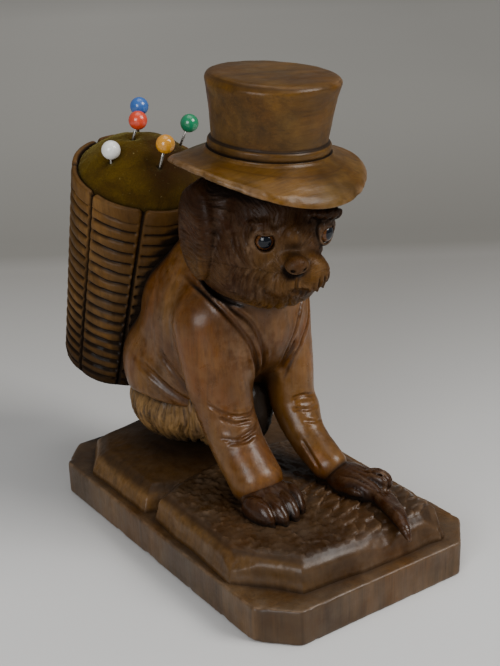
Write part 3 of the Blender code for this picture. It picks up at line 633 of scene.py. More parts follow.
def face_parts(p, d):
    """Lips, nose, brows and lids on the head's mass."""
    d = melt(d, egg(p, in_face(-0.9, 16.9, -5.4), (3.0, 2.8, 2.4), FACE_TURN + 0.35), 2.2)
    flew = egg(p, in_face(5.2, 17.6, -4.3), (3.7, 3.1, 3.6), FACE_TURN - 0.35)
    left, forward, rise = face_frame(p)
    comb = np.abs(np.sin((left * 0.8 - forward * 0.55 + 0.2 * rise) * 2.9))
    ragged = 0.25 * np.sin(left * 5 + forward * 2) * smooth_step(-rise, 6.0, 7.4)
    cuts = 0.62 * (1 - comb) ** 2 * smooth_step(-rise, 3.6, 5.0) * smooth_step(left, 4.2, 5.8)
    d = melt(d, flew + cuts + ragged, 1.6)
    pad = egg(p, NOSE + AHEAD * 0.5, (2.25, 1.8, 1.8), FACE_TURN, 0.2)
    bed = NOSE + AHEAD * 0.9 - ASIDE * 0.8 - np.array([0, 0, 0.6])
    d = cut_away(d, egg(p, bed, (2.5, 2.0, 2.3), FACE_TURN), 0.6)
    d = melt(d, egg(p, NOSE - AHEAD * 1.6 + np.array([0, 0, 0.5]), (1.9, 2.6, 1.4), FACE_TURN), 0.8)
    d = melt(d, pad, 0.55)
    for side in (-1, 1):
        nostril = NOSE + ASIDE * side * 1.3 + AHEAD * 1.9 + np.array([0, 0, -0.75])
        d = cut_away(d, egg(p, nostril, (0.5, 1.1, 0.38), FACE_TURN + side * 0.4), 0.2)
    strands = (1 - np.abs(np.sin((left * 0.9 - rise * 0.5) * 2.2))) ** 1.5
    for side, place, radii in BROWS:
        brow = egg(p, in_face(*place), radii, FACE_TURN - side * 0.25)
        d = melt(d, brow + (0.32 if side > 0 else 0.1) * strands, 1.1)
    for side in (-1, 1):
        eye = eye_place(side)
        q = p - eye
        r = np.linalg.norm(q, axis=-1)
        ahead = q @ eye_axis(side)
        off = np.sqrt(np.maximum(r * r - ahead * ahead, 0))
        hood = smooth_step(q[..., 2], -0.8, 2.0)
        lid = np.hypot(off - 2.25, ahead - 0.75) - (0.26 + 0.62 * hood)
        d = melt(d, lid, 0.7)
        d = cut_away(d, np.hypot(off - 3.3, ahead - 0.2) - 0.08, 0.3)
        droop = 1.2 - q[..., 2] + 0.12 * side * (q @ ASIDE)
        d = melt(d, np.maximum(r - EYE_RADIUS - 0.55, droop), 0.25)
        d = np.maximum(d, -(r - EYE_RADIUS - 0.1))
        d = np.maximum(d, -np.maximum(np.maximum(off - 1.82, -ahead), -droop))
    return d


# Cut lines of the face, as places left, forward and up in the turned face
MOUTH = [(0.6, 20.2, -7.0), (2.4, 20.2, -7.4), (3.6, 19.6, -8.4), (5.8, 18.0, -9.2)]
LIP = [(1.4, 21.4, -4.2), (1.3, 21.2, -5.4), (1.4, 20.6, -6.4)]


def head_shape(p):
    """The head with its face, before the strokes of hair."""
    d = face_parts(p, head_mass(p))
    for side in (-1, 1):
        d = melt(d, ear_field(p, side), 0.4 + 1.6 * smooth_step(p[..., 2] - HEAD[2], -3, 6))
    return d


def hair_flow(p):
    """Across and along the hair, and out from the line through the nose.

    Across is the angle round that line times a growing reach, and along is the distance back from the nose.
    """
    left, forward, rise = face_frame(p)
    left, rise = left - 1.4, rise + 3.0
    angle = np.arctan2(rise, left)
    out = np.hypot(left, rise)
    back = 20 - forward
    swirl = 0.25 * grainy(p, (6, 6, 6), 21)
    across = (angle + swirl) * (5 + 0.62 * np.minimum(out, 11))
    along = np.hypot(out, back) + 1.2 * grainy(p, (4, 4, 4), 22)
    return across, along, out


def head_hair(p):
    """Across and along the hairs of the head, for the fine strokes of its finish."""
    across, along, _ = hair_flow(p)
    return np.stack([across / 0.5, along / 2.6, np.zeros(len(p))], 1)


def head_field(p):
    """The head with short strokes of hair that run back from the nose, longest on cheeks and beard."""
    d = head_shape(p)
    for line, depth, width in HEAD_CUTS:
        d = cut_line(p, d, line, depth, width, 0.2)
    near = np.flatnonzero(np.abs(d) < 1.2)
    q = p[near]
    across, along, out = hair_flow(q)
    strokes = np.stack([across / 0.42, along / 1.5, out / 9], 1)
    cut = np.maximum(grainy(strokes, 1.0, 31), 0) ** 0.8
    tuft = grainy(np.stack([across / 1.5, along / 2.6, out / 9], 1), 1.0, 33)
    hair = 1.25 * cut + 0.38 * tuft + 0.3 * rough(strokes * 1.7, 1.0, 34, 2)
    bare = smooth_step(np.linalg.norm(q - NOSE, axis=1), 2.6, 4.5)
    for side in (-1, 1):
        bare = bare * smooth_step(np.linalg.norm(q - eye_place(side), axis=1), 3.0, 4.2)
    left, forward, rise = face_frame(q)
    bridge = 1 - 0.8 * bell(np.hypot((left - 2) / 3.2, (rise - 1.5) / 4.5), 1) * smooth_step(forward, 8, 12)
    tufts = np.abs(np.sin((across + 0.6 * grainy(q, (3, 3, 3), 35)) * math.pi / 2.7))
    beard = smooth_step(-rise, 8, 13)
    ear = smooth_step(np.abs(q[:, 0]), 11.5, 13.5)
    d[near] += bare * bridge * (0.17 - 0.07 * ear) * hair + 0.55 * beard * (1 - tufts) ** 2
    return d


HEAD_CUTS = [(onto(head_shape, through([in_face(*q) for q in line], 5)), d, w) for line, d, w in (
    (MOUTH, 1.2, 0.55), (LIP, 0.5, 0.28))]


# Paws

RIGHT_PAW = up_rock(-8.9, -19.2, 1.7)
# Each right toe: its place across and along the paw, and its turn
RIGHT_TOES = [(-4.5, -2.6, 0.16), (-1.6, -3.9, 0.04), (1.5, -3.8, -0.06), (4.5, -2.4, -0.2)]
LEFT_PAW = up_rock(10.0, -23.75, 1.6)
CLAW_RIDGE = [up_rock(*q) for q in (
    (11.4, -29, 2.2), (10.0, -33.6, 1.9), (8.6, -38.0, 1.3), (7.0, -42.0, 0.5), (6.5, -44.0, -1.0))]


def right_paw_field(p):
    """A broad paw with four knuckled toes, the clefts between them, and fine tool marks along them."""
    d = egg(p, RIGHT_PAW, (5.4, 6.0, 3.3), -0.05)
    d = melt(d, egg(p, RIGHT_PAW + np.array([0.3, 3.0, 1.4]), (4.9, 5.0, 3.4)), 2)
    toes = np.full(p.shape[:-1], 99.0)
    for x, y, turn in RIGHT_TOES:
        toe = egg(p, RIGHT_PAW + np.array([x, y + 0.7, -0.1]), (1.85, 4.5, 2.8), turn, 0.1)
        toe = melt(toe, egg(p, RIGHT_PAW + np.array([x * 0.97, y + 1.0, 1.2]), (1.6, 3.6, 2.1), turn), 0.6)
        toes = melt(toes, toe, 0.1)
    d = melt(d, toes, 0.5)
    near = np.flatnonzero(np.abs(d) < 1.2)
    q = p[near]
    d[near] += 0.1 * rough(q * np.array([1 / 0.7, 1 / 2.6, 1 / 1.0]), 1.0, 41, 2)
    return d


def left_paw_field(p):
    """A long paw with a ring cut round its boss, and the tapered ridge that runs from it over the rock."""
    d = egg(p, LEFT_PAW, (4.7, 7.7, 3.6), 0.1)
    boss = egg(p, LEFT_PAW + np.array([2.2, -4.4, 2.0]), (2.3, 3.4, 2.3), 0.35)
    d = melt(d, boss, 0.6)
    boss_top, boss_axis = LEFT_PAW + np.array([2.3, -4.4, 3.7]), np.array([0.25, -0.2, 0.947])
    d = cut_away(d, ring_gap(p, boss_top, boss_axis, 1.35, 0.22), 0.2)
    ridge = limb(p, CLAW_RIDGE, [2.7, 2.4, 1.9, 1.2, 0.5])
    flat_top = (p[..., 2] - ROCK_TOP - 3.0) * 0.94 + (p[..., 0] - 9.5) * 0.34 - (p[..., 1] + 33) * 0.10
    ridge = cut_away(ridge, -flat_top, 0.5)
    d = melt(d, ridge, 1.0)
    near = np.flatnonzero(np.abs(d) < 1.2)
    q = p[near]
    grooves = np.abs(np.sin((q[:, 0] * 0.95 + q[:, 1] * 0.28 + 0.5 * grainy(q, (3, 3, 3), 43)) * 2.3))
    on_paw = smooth_step(-q[:, 1], 22, 26) * smooth_step(q[:, 1], -33, -30)
    d[near] += 0.36 * (1 - grooves) ** 2 * on_paw + 0.10 * rough(q, (0.9, 2.4, 1.2), 42, 2)
    return d


def nails_field(p):
    """Four short nails that bend down at the ends of the right toes."""
    d = np.full(p.shape[:-1], 99.0)
    for x, y, turn in RIGHT_TOES:
        root = RIGHT_PAW + np.array([x + turn * 3, y - 2.1, 0.2])
        tip = root + np.array([turn * 0.6, -1.0, -1.6])
        d = np.minimum(d, limb(p, [root, root + np.array([0, -0.5, -0.4]), tip], [1.1, 1.05, 0.75]))
    return d


# Rock and plinth

def outline_gap(x, y, outline):
    """Signed gap to an outline on the flat: nearest of its edges, negative inside by the crossings rule."""
    best = np.full(np.shape(x), 1e9)
    inside = np.zeros(np.shape(x), dtype=bool)
    for (ax, ay), (bx, by) in zip(outline, outline[1:] + outline[:1]):
        ex, ey = bx - ax, by - ay
        t = np.clip(((x - ax) * ex + (y - ay) * ey) / (ex * ex + ey * ey), 0, 1)
        best = np.minimum(best, (x - ax - t * ex) ** 2 + (y - ay - t * ey) ** 2)
        if ey:
            spans = (ay > y) != (by > y)
            inside ^= spans & (x < ax + (y - ay) * ex / ey)
    return np.sqrt(best) * np.where(inside, -1, 1)


# Outlines of the rock's slabs, from half the plinth's sizes less the ledge that it leaves free
LEDGE = 2.6
HALF_X, HALF_Y = PLINTH_WIDTH / 2 - LEDGE, PLINTH_LENGTH / 2 - LEDGE
MAIN_SLAB = [
    (-HALF_X, -HALF_Y + 43), (-HALF_X - 0.3, -HALF_Y + 28), (-HALF_X - 0.8, -HALF_Y + 14),
    (-HALF_X + 8, -HALF_Y + 2.2), (-2, -HALF_Y + 0.2), (HALF_X - 7, -HALF_Y - 0.6),
    (HALF_X - 3.6, -HALF_Y + 5), (HALF_X - 3.6, -HALF_Y + 20), (HALF_X - 3, -HALF_Y + 46),
    (2, -HALF_Y + 50), (-HALF_X + 6, -HALF_Y + 46),
]
REAR_SLAB = [
    (-HALF_X, -HALF_Y + 47), (-HALF_X - 0.2, HALF_Y - 13), (-HALF_X + 5.5, HALF_Y - 3.5),
    (-2, HALF_Y - 1.5), (HALF_X - 6, HALF_Y - 2), (HALF_X - 0.5, HALF_Y - 10),
    (HALF_X - 1.5, -HALF_Y + 48), (HALF_X - 8, -HALF_Y + 42), (-HALF_X + 10, -HALF_Y + 42),
]
FRONT_SLAB = [
    (8, -HALF_Y + 14), (HALF_X - 2.8, -HALF_Y + 16), (HALF_X - 2.6, -HALF_Y + 6), (HALF_X - 6, -HALF_Y),
    (7, -HALF_Y + 1), (6, -HALF_Y + 6),
]
# Facets that the chisel struck off the rock's rim: a place on each, its heading and its tilt in degrees
FACETS = [
    ((-21.5, -27.5), 205, 40), ((-17.0, -36.5), 228, 52), ((-9.5, -38.4), 262, 46),
    ((-1.5, -38.9), 276, 38), ((8.5, -39.5), 262, 57), ((15.8, -38.2), 300, 44),
    ((-22.6, -13.0), 182, 42), ((-22.9, -2.0), 172, 55), ((18.6, -30.0), 352, 48),
    ((18.9, -14.0), 5, 40), ((19.0, 2.0), 10, 55), ((-22.4, 14.5), 187, 45),
    ((-21.0, 26.0), 170, 38), ((-14.0, 36.0), 128, 50), ((0.0, 38.2), 95, 42),
    ((14.0, 37.2), 78, 55), ((22.0, 28.0), 22, 44), ((22.4, 14.0), 355, 52),
]


def rock_slab(p, outline, top, bevel, seed):
    """A slab: steep sides that flare at the foot, a rim bevelled at nearly 45 degrees, and a humped top."""
    x, y, z = p[..., 0], p[..., 1], p[..., 2]
    wobble = 0.5 * grainy(p * np.array([1, 1, 0.15]), (7, 7, 7), seed)
    side = outline_gap(x, y, outline) + wobble
    flare = 0.35 * smooth_step(-z, -PLINTH_THICKNESS - 2.5, -PLINTH_THICKNESS - 0.6)
    side = side + 0.12 * (z - PLINTH_THICKNESS) - flare
    high = top + 0.5 * smooth_step(-side, 1, 9)
    rim = (side * 0.9 + bevel + z - high) * 0.74
    d = -melt(-(z - high), -rim, 0.5)
    d = -melt(-d, -side, 0.7)
    return np.maximum(d, PLINTH_THICKNESS - 1.5 - z)


def rock_field(p):
    """Three slabs with struck facets, a ridged mound behind the paws, gouges and flakes, and a deep crack."""
    x, y = p[..., 0], p[..., 1]
    main = rock_slab(p, MAIN_SLAB, ROCK_TOP, 2.0, 51)
    rear = rock_slab(p, REAR_SLAB, ROCK_TOP - 1.3, 2.2, 52)
    front = rock_slab(p, FRONT_SLAB, ROCK_TOP + 0.1, 1.6, 53)
    d = np.minimum(np.minimum(main, rear), front)
    for (fx, fy), heading, tilt in FACETS:
        a, t = math.radians(heading), math.radians(tilt)
        n = np.array([math.cos(a) * math.cos(t), math.sin(a) * math.cos(t), math.sin(t)])
        place = np.array([fx, fy, ROCK_TOP - 0.5])
        plane = (p - place) @ n
        local = np.hypot(x - fx, y - fy)
        d = np.where(local < 9, -melt(-d, -(plane - 0.10 * np.maximum(local - 4.5, 0) ** 2), 0.2), d)
    near = np.flatnonzero(np.abs(d) < 2)
    q = p[near]
    x, y, z = q[:, 0], q[:, 1], q[:, 2]
    flat = smooth_step(z, ROCK_TOP - 0.6, ROCK_TOP + 0.05)
    mound = bell((x + 1.5 - 0.25 * y) / 6.5, 1) * bell((y + 9) / 8.5, 1)
    spread = np.arctan2(x + 3.5, 8 - y) * 14
    d[near] -= flat * mound * (1.25 + 0.35 * np.sin(spread * 2.4 + grainy(q, (4, 4, 4), 60)))
    gouged = smooth_step(-y, 14, 19) * smooth_step(x, -6, 0)
    bowls = scoops(x + 0.3 * y, y - 0.2 * x, 2.5, 54) ** 2
    chips = scoops(x, y, 1.7, 55) ** 2
    along, beside = 0.55 * x - 0.84 * y, 0.84 * x + 0.55 * y
    flakes = chisel_steps(along, beside * 0.8, 2.3, 58)
    d[near] += flat * gouged * (0.12 - 0.25 * bowls - 0.62 * flakes)
    small = chisel_steps(0.9 * x + 0.4 * y, 0.9 * y - 0.4 * x, 1.5, 61)
    d[near] -= flat * (1 - gouged) * 0.26 * small
    furrows = np.maximum(grainy(q, (0.9, 3.2, 2), 59), 0)
    d[near] += flat * (1 - gouged) * (0.16 - 0.30 * chips + 0.25 * furrows)
    grit = (0.06 + 0.08 * flat) * rough(q, (2.6, 2.6, 2.6), 56, 3)
    d[near] += grit + 0.04 * (1 - flat) * grainy(q, (0.6, 0.6, 4), 57)
    d = cut_line(p, d, CRACK, 1.5, 0.45, 0.1)
    return d


# The crack in the rock's front edge
CRACK = np.array([[6.2, -43.0, 13.2], [5.2, -41.6, 14.2], [5.0, -39.0, 14.6], [6.0, -36.0, 14.6]])


def plinth_outline(pitch=0.45, soften=2):
    """The board's outline, walked at an even pitch, with its corners eased by averaging neighbours."""
    x, y = PLINTH_WIDTH / 2, PLINTH_LENGTH / 2
    cx, cy = PLINTH_CORNER
    corners = [
        (-x + cx, -y), (x - cx, -y - PLINTH_SKEW), (x, -y - PLINTH_SKEW + cy), (x, y - cy),
        (x - cx, y), (-x + cx, y), (-x, y - cy), (-x, -y + cy),
    ]
    runs = []
    for a, b in zip(corners, corners[1:] + corners[:1]):
        a, b = np.array(a), np.array(b)
        count = max(2, round(np.linalg.norm(b - a) / pitch))
        runs.append(a + (b - a) * np.linspace(0, 1, count, endpoint=False)[:, None])
    line = np.vstack(runs)
    for _ in range(soften):
        line = (np.roll(line, 1, 0) + 2 * line + np.roll(line, -1, 0)) / 4
    along = np.roll(line, -1, 0) - np.roll(line, 1, 0)
    out = np.stack([along[:, 1], -along[:, 0]], 1)
    return line, out / np.linalg.norm(out, axis=1, keepdims=True)


def plinth_grid():
    """The board: its outline carried up a profile of insets and heights, with worn and chipped edges.

    Near the edge a row is the outline moved inwards, and further in it is the outline shrunk to the middle.
    """
    line, out = plinth_outline()
    t = PLINTH_THICKNESS
    worn_reach, shrink_reach = 1.3, 26
    profile = [(25, 0), (12, 0), (3, 0), (1.0, 0), (0.45, 0.02), (0.16, 0.12), (0.02, 0.4)]
    profile += [(0, z) for z in np.linspace(0.8, t - 0.9, 14)]
    profile += [(0.03, t - 0.6), (0.12, t - 0.34), (0.28, t - 0.16), (0.5, t - 0.06), (0.8, t - 0.02)]
    profile += [(inset, t) for inset in (1.2, 1.7, 2.3, 3.2, 5, 12, 25)]
    rows = []
    for inset, z in profile:
        side = float(inset < 0.6)
        flat = line * (1 - inset / shrink_reach) if inset > worn_reach else line - out * inset
        p = np.column_stack([flat, np.full(len(line), z)])
        streak = 0.05 * grainy(p * np.array([1, 1, 0.12]), (0.8, 0.8, 0.8), 61)
        streak = streak + 0.05 * grainy(p, (7, 7, 9), 62)
        top_edge = bell(z - t, 0.9) * (inset < worn_reach)
        chips = np.maximum(grainy(p, (1.8, 1.8, 30), 63) - 0.45, 0) * 0.6 * top_edge
        low_edge = bell(z, 0.7) * (inset < worn_reach)
        chips = chips + np.maximum(grainy(p, (2.4, 2.4, 30), 64) - 0.45, 0) * 0.7 * low_edge
        p[:, :2] -= out * (side * streak + chips)[:, None]
        p[:, 2] -= chips * 0.6 * (z > 2)
        if z == t:
            p[:, 2] += 0.06 * grainy(p, (1.2, 1.2, 1), 65)
        rows.append(p)
    return np.stack(rows)


# Top hat

def smooth_profile(runs, steps=6):
    """A turned outline made of smooth runs: each run is a curve through its own places."""
    return np.vstack([through(run, steps) for run in runs])


def hat_lift(radius, angle):
    """How far the brim's curl lifts it: a wave twice round that grows with the square of its reach."""
    weight = np.clip((radius - CROWN_FOOT) / (BRIM_RADIUS - CROWN_FOOT), 0, 1.05) ** 2
    return (2.15 * np.cos(2 * angle) - 0.6 * np.cos(angle) - 2.85) * weight


def hat_grid(around=340):
    """The hat: an outline turned from the hidden plug under the brim, over its edge and up to the top.

    Each run of the outline is a list of radii and heights, and brim and crown are then worn and chipped.
    """
    f, b, c, h = CROWN_FOOT, BRIM_RADIUS, CROWN_TOP, CROWN_HEIGHT
    t = BRIM_THICKNESS
    outline = smooth_profile([
        [(5, -6.2), (f - 2.6, -6), (f - 2.2, -3.4)],
        [(f - 1.6, -2.2), (f + 1, -t - 0.5), (b - 4, -t - 0.15), (b - 1.6, -t * 0.92)],
        [(b - 0.9, -t * 0.9), (b - 0.25, -t * 0.75), (b + 0.02, -t * 0.42), (b - 0.2, -0.1), (b - 0.8, 0.1),
         (b - 1.5, 0.02)],
        [(b - 2.1, -0.02), (f + 5, 0.05), (f + 2.6, 0.28), (f + 1.35, 0.62)],
        [(f + 1.0, 0.95), (f + 0.86, 1.2), (f + 0.42, 1.2), (f + 0.5, 1.36), (f + 0.62, 1.8), (f + 0.6, 2.5),
         (f + 0.4, 2.9)],
        [(f + 0.02, 3.0), (f - 0.06, 3.3), (f + 0.02, 4.2)],
        [(f + 0.12, 5.2), (f + 0.5, 8.6), (f + 1.05, 11.8), (c - 0.08, h - 1.6)],
        [(c, h - 1.2), (c - 0.05, h - 0.75), (c - 0.4, h - 0.3), (c - 1.0, h - 0.02)],
        [(c - 1.8, h + 0.06), (6, h + 0.1), (1, h + 0.1)],
    ])
    angle = np.arange(around) * 2 * math.pi / around
    radius, height = outline[:, :1], outline[:, 1:]
    axes = leaning(*HAT_LEAN)
    oval = 1 + 0.012 * np.cos(2 * angle + 0.6)
    under = (height < 0.9) & (radius > CROWN_FOOT - 1)
    lift = hat_lift(radius, angle[None]) * under
    flat = np.stack([radius * np.cos(angle) * oval, radius * np.sin(angle) * oval, height + lift], -1)
    worn = 0.1 * grainy(flat, (7, 7, 4), 71) + 0.04 * grainy(flat, (1.8, 1.8, 0.9), 72)
    edge = bell(radius - b, 0.8)
    chips = np.maximum(grainy(flat, (2.2, 2.2, 9), 73) - 0.3, 0) * 0.75 * edge
    rim = bell(np.hypot(radius - c, height - h + 0.4), 1.2)
    worn_left = 0.8 * smooth_step(np.cos(angle - 3.5), 0.2, 1)[None] * rim
    flat[..., :2] *= (1 - (worn + chips + 0.5 * worn_left) / np.maximum(radius, 3))[..., None]
    flat[..., 2] -= 0.6 * worn_left + 0.05 * grainy(flat, (2, 2, 2), 74) * (height > h - 0.1)
    return HAT_SEAT + flat @ axes


# Basket

def basket_axes():
    """Across, along and up directions of the basket, as rows."""
    return leaning(BASKET_LEAN, 0.0)


def basket_places(radius, angle, depth):
    """Places in the basket: depth is measured down from the rim."""
    flat = np.stack([radius * np.cos(angle), radius * np.sin(angle), -depth + 0 * angle], -1)
    return BASKET_RIM_MIDDLE + flat @ basket_axes()


def stave_share(angle):
    """Each angle's place across its stave, from -1 at one seam to 1 at the next, and the stave's number."""
    turns = (angle - BASKET_FIRST_SEAM) / (2 * math.pi / BASKET_PANELS)
    stave = np.floor(turns)
    return (turns - stave) * 2 - 1, stave


def basket_grid():
    """The basket: ribs, seams and rim on the outside, a lip, and the cup down to its floor.

    The radius is the taper less a groove between ribs, a round-bottomed seam and a slight crown
    of each stave, and the rim dips in a notch at each seam.
    """
    across = np.linspace(-1, 1, 45)
    across = np.sign(across) * (1 - (1 - np.abs(across)) ** 1.35)
    step = 2 * math.pi / BASKET_PANELS
    staves = [BASKET_FIRST_SEAM + step * (k + 0.5 + 0.5 * across[:-1]) for k in range(BASKET_PANELS)]
    angle = np.concatenate(staves)
    share, stave = stave_share(angle + 1e-6)
    ribbed = BASKET_LENGTH - RIM_BAND - FOOT_BAND
    pitch = ribbed / BASKET_RIBS
    rim = BASKET_RIM
    cup = [(0.0, CUP_DEPTH), (8.0, CUP_DEPTH), (rim - 3.6, CUP_DEPTH), (rim - 3.0, 14.0), (rim - 2.1, 5.0),
           (rim - 1.75, 2.4), (rim - 1.62, 1.2)]
    lip = [(rim - 1.5, 0.5), (rim - 1.25, 0.12), (rim - 0.9, 0.0), (rim - 0.5, 0.04), (rim - 0.18, 0.22)]
    down = np.concatenate([np.linspace(0.55, RIM_BAND - 0.3, 10),
                           np.linspace(RIM_BAND, RIM_BAND + ribbed, BASKET_RIBS * 11 + 1),
                           np.linspace(RIM_BAND + ribbed + 0.35, BASKET_LENGTH - 0.8, 6)])
    # The groove rows are painted shade: in the grooves, seams and strip, in the cup and lip, and under the
    # foot.
    rows, groove_rows = [], []
    taper = (BASKET_FOOT - BASKET_RIM) / BASKET_LENGTH
    seam = bell((1 - np.abs(share)) * 5.6, 0.34)
    strip = bell((1 + share) * 5.6 - 1.0, 0.22) * (stave == 6)
    crown = 0.32 * np.abs(share) ** 2.5
    notch = 1.25 * np.clip((np.abs(share) - 0.8) / 0.2, 0, 1) ** 1.6
    for radius, depth in cup:
        rows.append(basket_places(radius, angle, depth + notch * 0.9 * (depth < 2)))
        groove_rows.append(0.25 + 0.5 * seam)
    for radius, depth in lip:
        rows.append(basket_places(radius - (crown + 0.3 * seam), angle, depth + notch))
        groove_rows.append(0.25 + 0.5 * seam)
    for depth in down:
        swing = 0.25 * np.sin(stave * 2.1) + 0.3 * share * np.sin(stave * 1.3 + 0.5)
        rib = round((depth - RIM_BAND) / pitch)
        wander = 0.14 * grainy(np.stack([share * 2 + stave * 9, 0 * share + rib, 0 * share], -1), 1, 81)
        phase = (depth + 0.35 * swing + wander - RIM_BAND) / pitch
        k = phase - np.floor(phase)
        inside = smooth_step(phase, -0.02, 0.02) * smooth_step(BASKET_RIBS - phase, -0.02, 0.02)
        ends = smooth_step(1 - np.abs(share), 0.07, 0.2)
        groove = np.maximum(bell(np.minimum(k, 1 - k) * pitch, 0.42), 0) * inside * ends
        round_rib = 0.22 * (2 * k - 1) ** 2 * inside
        at_rim = bell(depth, 0.55) * 0.25
        at_foot = 0.35 * smooth_step(depth, RIM_BAND + ribbed, RIM_BAND + ribbed + 0.5)
        deep = np.where(stave == 6, 0.9, np.where(stave == 5, 0.55, 0.7))
        cut = 0.62 * groove + round_rib + deep * seam + 0.35 * strip + crown + at_rim + at_foot
        drop = notch * bell(np.maximum(depth - 0.4, 0), 1.4)
        radius = BASKET_RIM + taper * depth - cut
        rows.append(basket_places(radius, angle, depth + drop))
        groove_rows.append(np.clip(0.75 * groove + 0.8 * seam + 0.4 * strip, 0, 1))
    foot = BASKET_FOOT - 0.35 - crown
    for inset, past_end in ((0.3, -0.25), (0.8, -0.02), (1.5, 0), (5, 0.05), (10, 0.1)):
        rows.append(basket_places(foot - inset, angle, BASKET_LENGTH + past_end + 0.0 * angle))
        groove_rows.append(np.full(len(angle), 0.15))
    grid = np.stack(rows)
    grid = grid + normals_of(grid) * 0.04 * grainy(grid, (0.8, 0.8, 2.5), 82)[..., None]
    return grid, np.stack(groove_rows)


# Cushion and pins

def dome_height(reach):
    """Height of the velvet above the rim at a distance from the basket's axis."""
    share = np.minimum(1.0, reach / CUP_LIP)
    return DOME_HEIGHT - (DOME_HEIGHT + DOME_BELOW_RIM) * share ** DOME_POWER


def pin_places(colour):
    """Middle of a pin's head and the pin's direction: it stands in the dome with its own lean."""
    (across, along), (lean_across, lean_along), stand_off = PINS[colour]
    side, back, up = basket_axes()
    axis = up + side * lean_across + back * lean_along
    axis = axis / np.linalg.norm(axis)
    entry = BASKET_RIM_MIDDLE + side * across + back * along + up * dome_height(math.hypot(across, along))
    return entry + axis * stand_off, axis


def cushion_grid(around, rings):
    """The velvet pad: a dome of nearly even rings, a tucked edge and the pad's round body in the cup."""
    angle = np.arange(around) * 2 * math.pi / around
    share = np.linspace(0.008, 1, rings)
    reach = share * (CUP_LIP - 0.55)
    rows = [basket_places(r, angle, -dome_height(r) + 0 * angle) for r in reach]
    for r, depth in ((CUP_LIP - 0.4, 1.2), (CUP_LIP - 0.5, 2.2), (CUP_LIP - 1.4, 6), (CUP_LIP - 2.2, 14),
                     (CUP_LIP - 2.8, 22.6), (CUP_LIP - 4.5, 23.4), (5, 23.5)):
        rows.append(basket_places(r, angle, depth + 0 * angle))
    return np.stack(rows)


def ball_grid(centre, radius, rows=34, around=48):
    """A ball: rings of latitude from one pole to the other."""
    lat = np.linspace(-math.pi / 2, math.pi / 2, rows + 2)[1:-1, None]
    lon = np.arange(around)[None] * 2 * math.pi / around
    unit = np.stack([np.cos(lat) * np.cos(lon), np.cos(lat) * np.sin(lon), np.sin(lat) + 0 * lon], -1)
    return centre + unit * radius


def tube_grid(start, end, radius, around=20):
    """A straight round rod: rings along its run, drawn in at both ends."""
    run = end - start
    length = np.linalg.norm(run)
    up = run / length
    side = np.cross(up, [0.3, 0.9, 0.1])
    side = side / np.linalg.norm(side)
    other = np.cross(up, side)
    angle = np.arange(around) * 2 * math.pi / around
    rows = []
    for share, scale in ((0, 0.5), (0.004, 1), (0.3, 1), (0.7, 1), (0.9, 1), (1, 0.12)):
        ring = np.cos(angle)[:, None] * side + np.sin(angle)[:, None] * other
        rows.append(start + run * share + ring * radius * scale)
    return np.stack(rows)


# Finishes

class Nodes:
    """Short calls that build one material's node tree."""

    def __init__(self, name):
        self.material = bpy.data.materials.new(name)
        self.material.use_nodes = True
        self.tree = self.material.node_tree
        self.shader = self.tree.nodes["Principled BSDF"]

    def add(self, kind, settings=None, **links):
        """A node of that kind with its settings, and its sockets linked or set."""
        node = self.tree.nodes.new(kind)
        for word, value in (settings or {}).items():
            setattr(node, word, value)
        for word, value in links.items():
            self.put(node, word.replace("_", " "), value)
        return node

    def put(self, node, socket, value):
        """Links an output to a socket, named or as n and its number, or sets the socket's own value."""
        numbered = socket[0] == "n" and socket[1:].isdigit()
        target = node.inputs[int(socket[1:]) if numbered else socket]
        if isinstance(value, bpy.types.NodeSocket):
            self.tree.links.new(value, target)
        else:
            target.default_value = value

    def place(self, scale=(1, 1, 1), turn=(0, 0, 0)):
        """Object coordinates through a Mapping node that stretches and turns them."""
        start = self.add("ShaderNodeTexCoord").outputs["Object"]
        return self.add("ShaderNodeMapping", Vector=start, Scale=scale, Rotation=turn).outputs[0]

    def value(self, name):
        """A number that each vertex of the mesh carries."""
        return self.add("ShaderNodeAttribute", {"attribute_name": name}).outputs["Fac"]

    def vector(self, name):
        """A vector that each vertex of the mesh carries."""
        return self.add("ShaderNodeAttribute", {"attribute_name": name}).outputs["Vector"]

    def noise(self, where, scale, detail=3.0, rough_share=0.5, twist=0.0):
        """Noise from 0 to 1 at those places."""
        node = self.add("ShaderNodeTexNoise", Vector=where, Scale=scale, Detail=detail,
                        Roughness=rough_share, Distortion=twist)
        return node.outputs["Fac"]

    def band(self, value, low, high, start=0.0, end=1.0):
        """The value mapped from low..high to start..end and held there."""
        return self.add("ShaderNodeMapRange", n0=value, n1=low, n2=high, n3=start, n4=end).outputs[0]

    def times(self, a, b):
        """The product of two numbers."""
        return self.add("ShaderNodeMath", {"operation": "MULTIPLY"}, n0=a, n1=b).outputs[0]

    def plus(self, a, b):
        """The sum of two numbers."""
        return self.add("ShaderNodeMath", {"operation": "ADD"}, n0=a, n1=b).outputs[0]

    def mix(self, share, a, b, blend="MIX"):
        """Two colours mixed."""
        node = self.tree.nodes.new("ShaderNodeMix")
        node.data_type = "RGBA"
        node.blend_type = blend
        self.put(node, "n0", share)
        self.put(node, "n6", a if isinstance(a, bpy.types.NodeSocket) else (*a, 1.0))
        self.put(node, "n7", b if isinstance(b, bpy.types.NodeSocket) else (*b, 1.0))
        return node.outputs[2]

    def shaded(self, colour, factor):
        """A colour made darker or lighter by a number."""
        grey = self.add("ShaderNodeCombineColor", Red=factor, Green=factor, Blue=factor).outputs[0]
        return self.mix(1.0, colour, grey, "MULTIPLY")

    def bump(self, height, distance, strength=1.0, below=None):
        """A bump of that height in metres, on top of another."""
        node = self.add("ShaderNodeBump", Height=height, Distance=distance, Strength=strength)
        if below is not None:
            self.put(node, "Normal", below)
        return node.outputs[0]


def tint(colour, factor):
    """A colour made lighter or darker by a factor."""
    return [factor * c for c in colour]
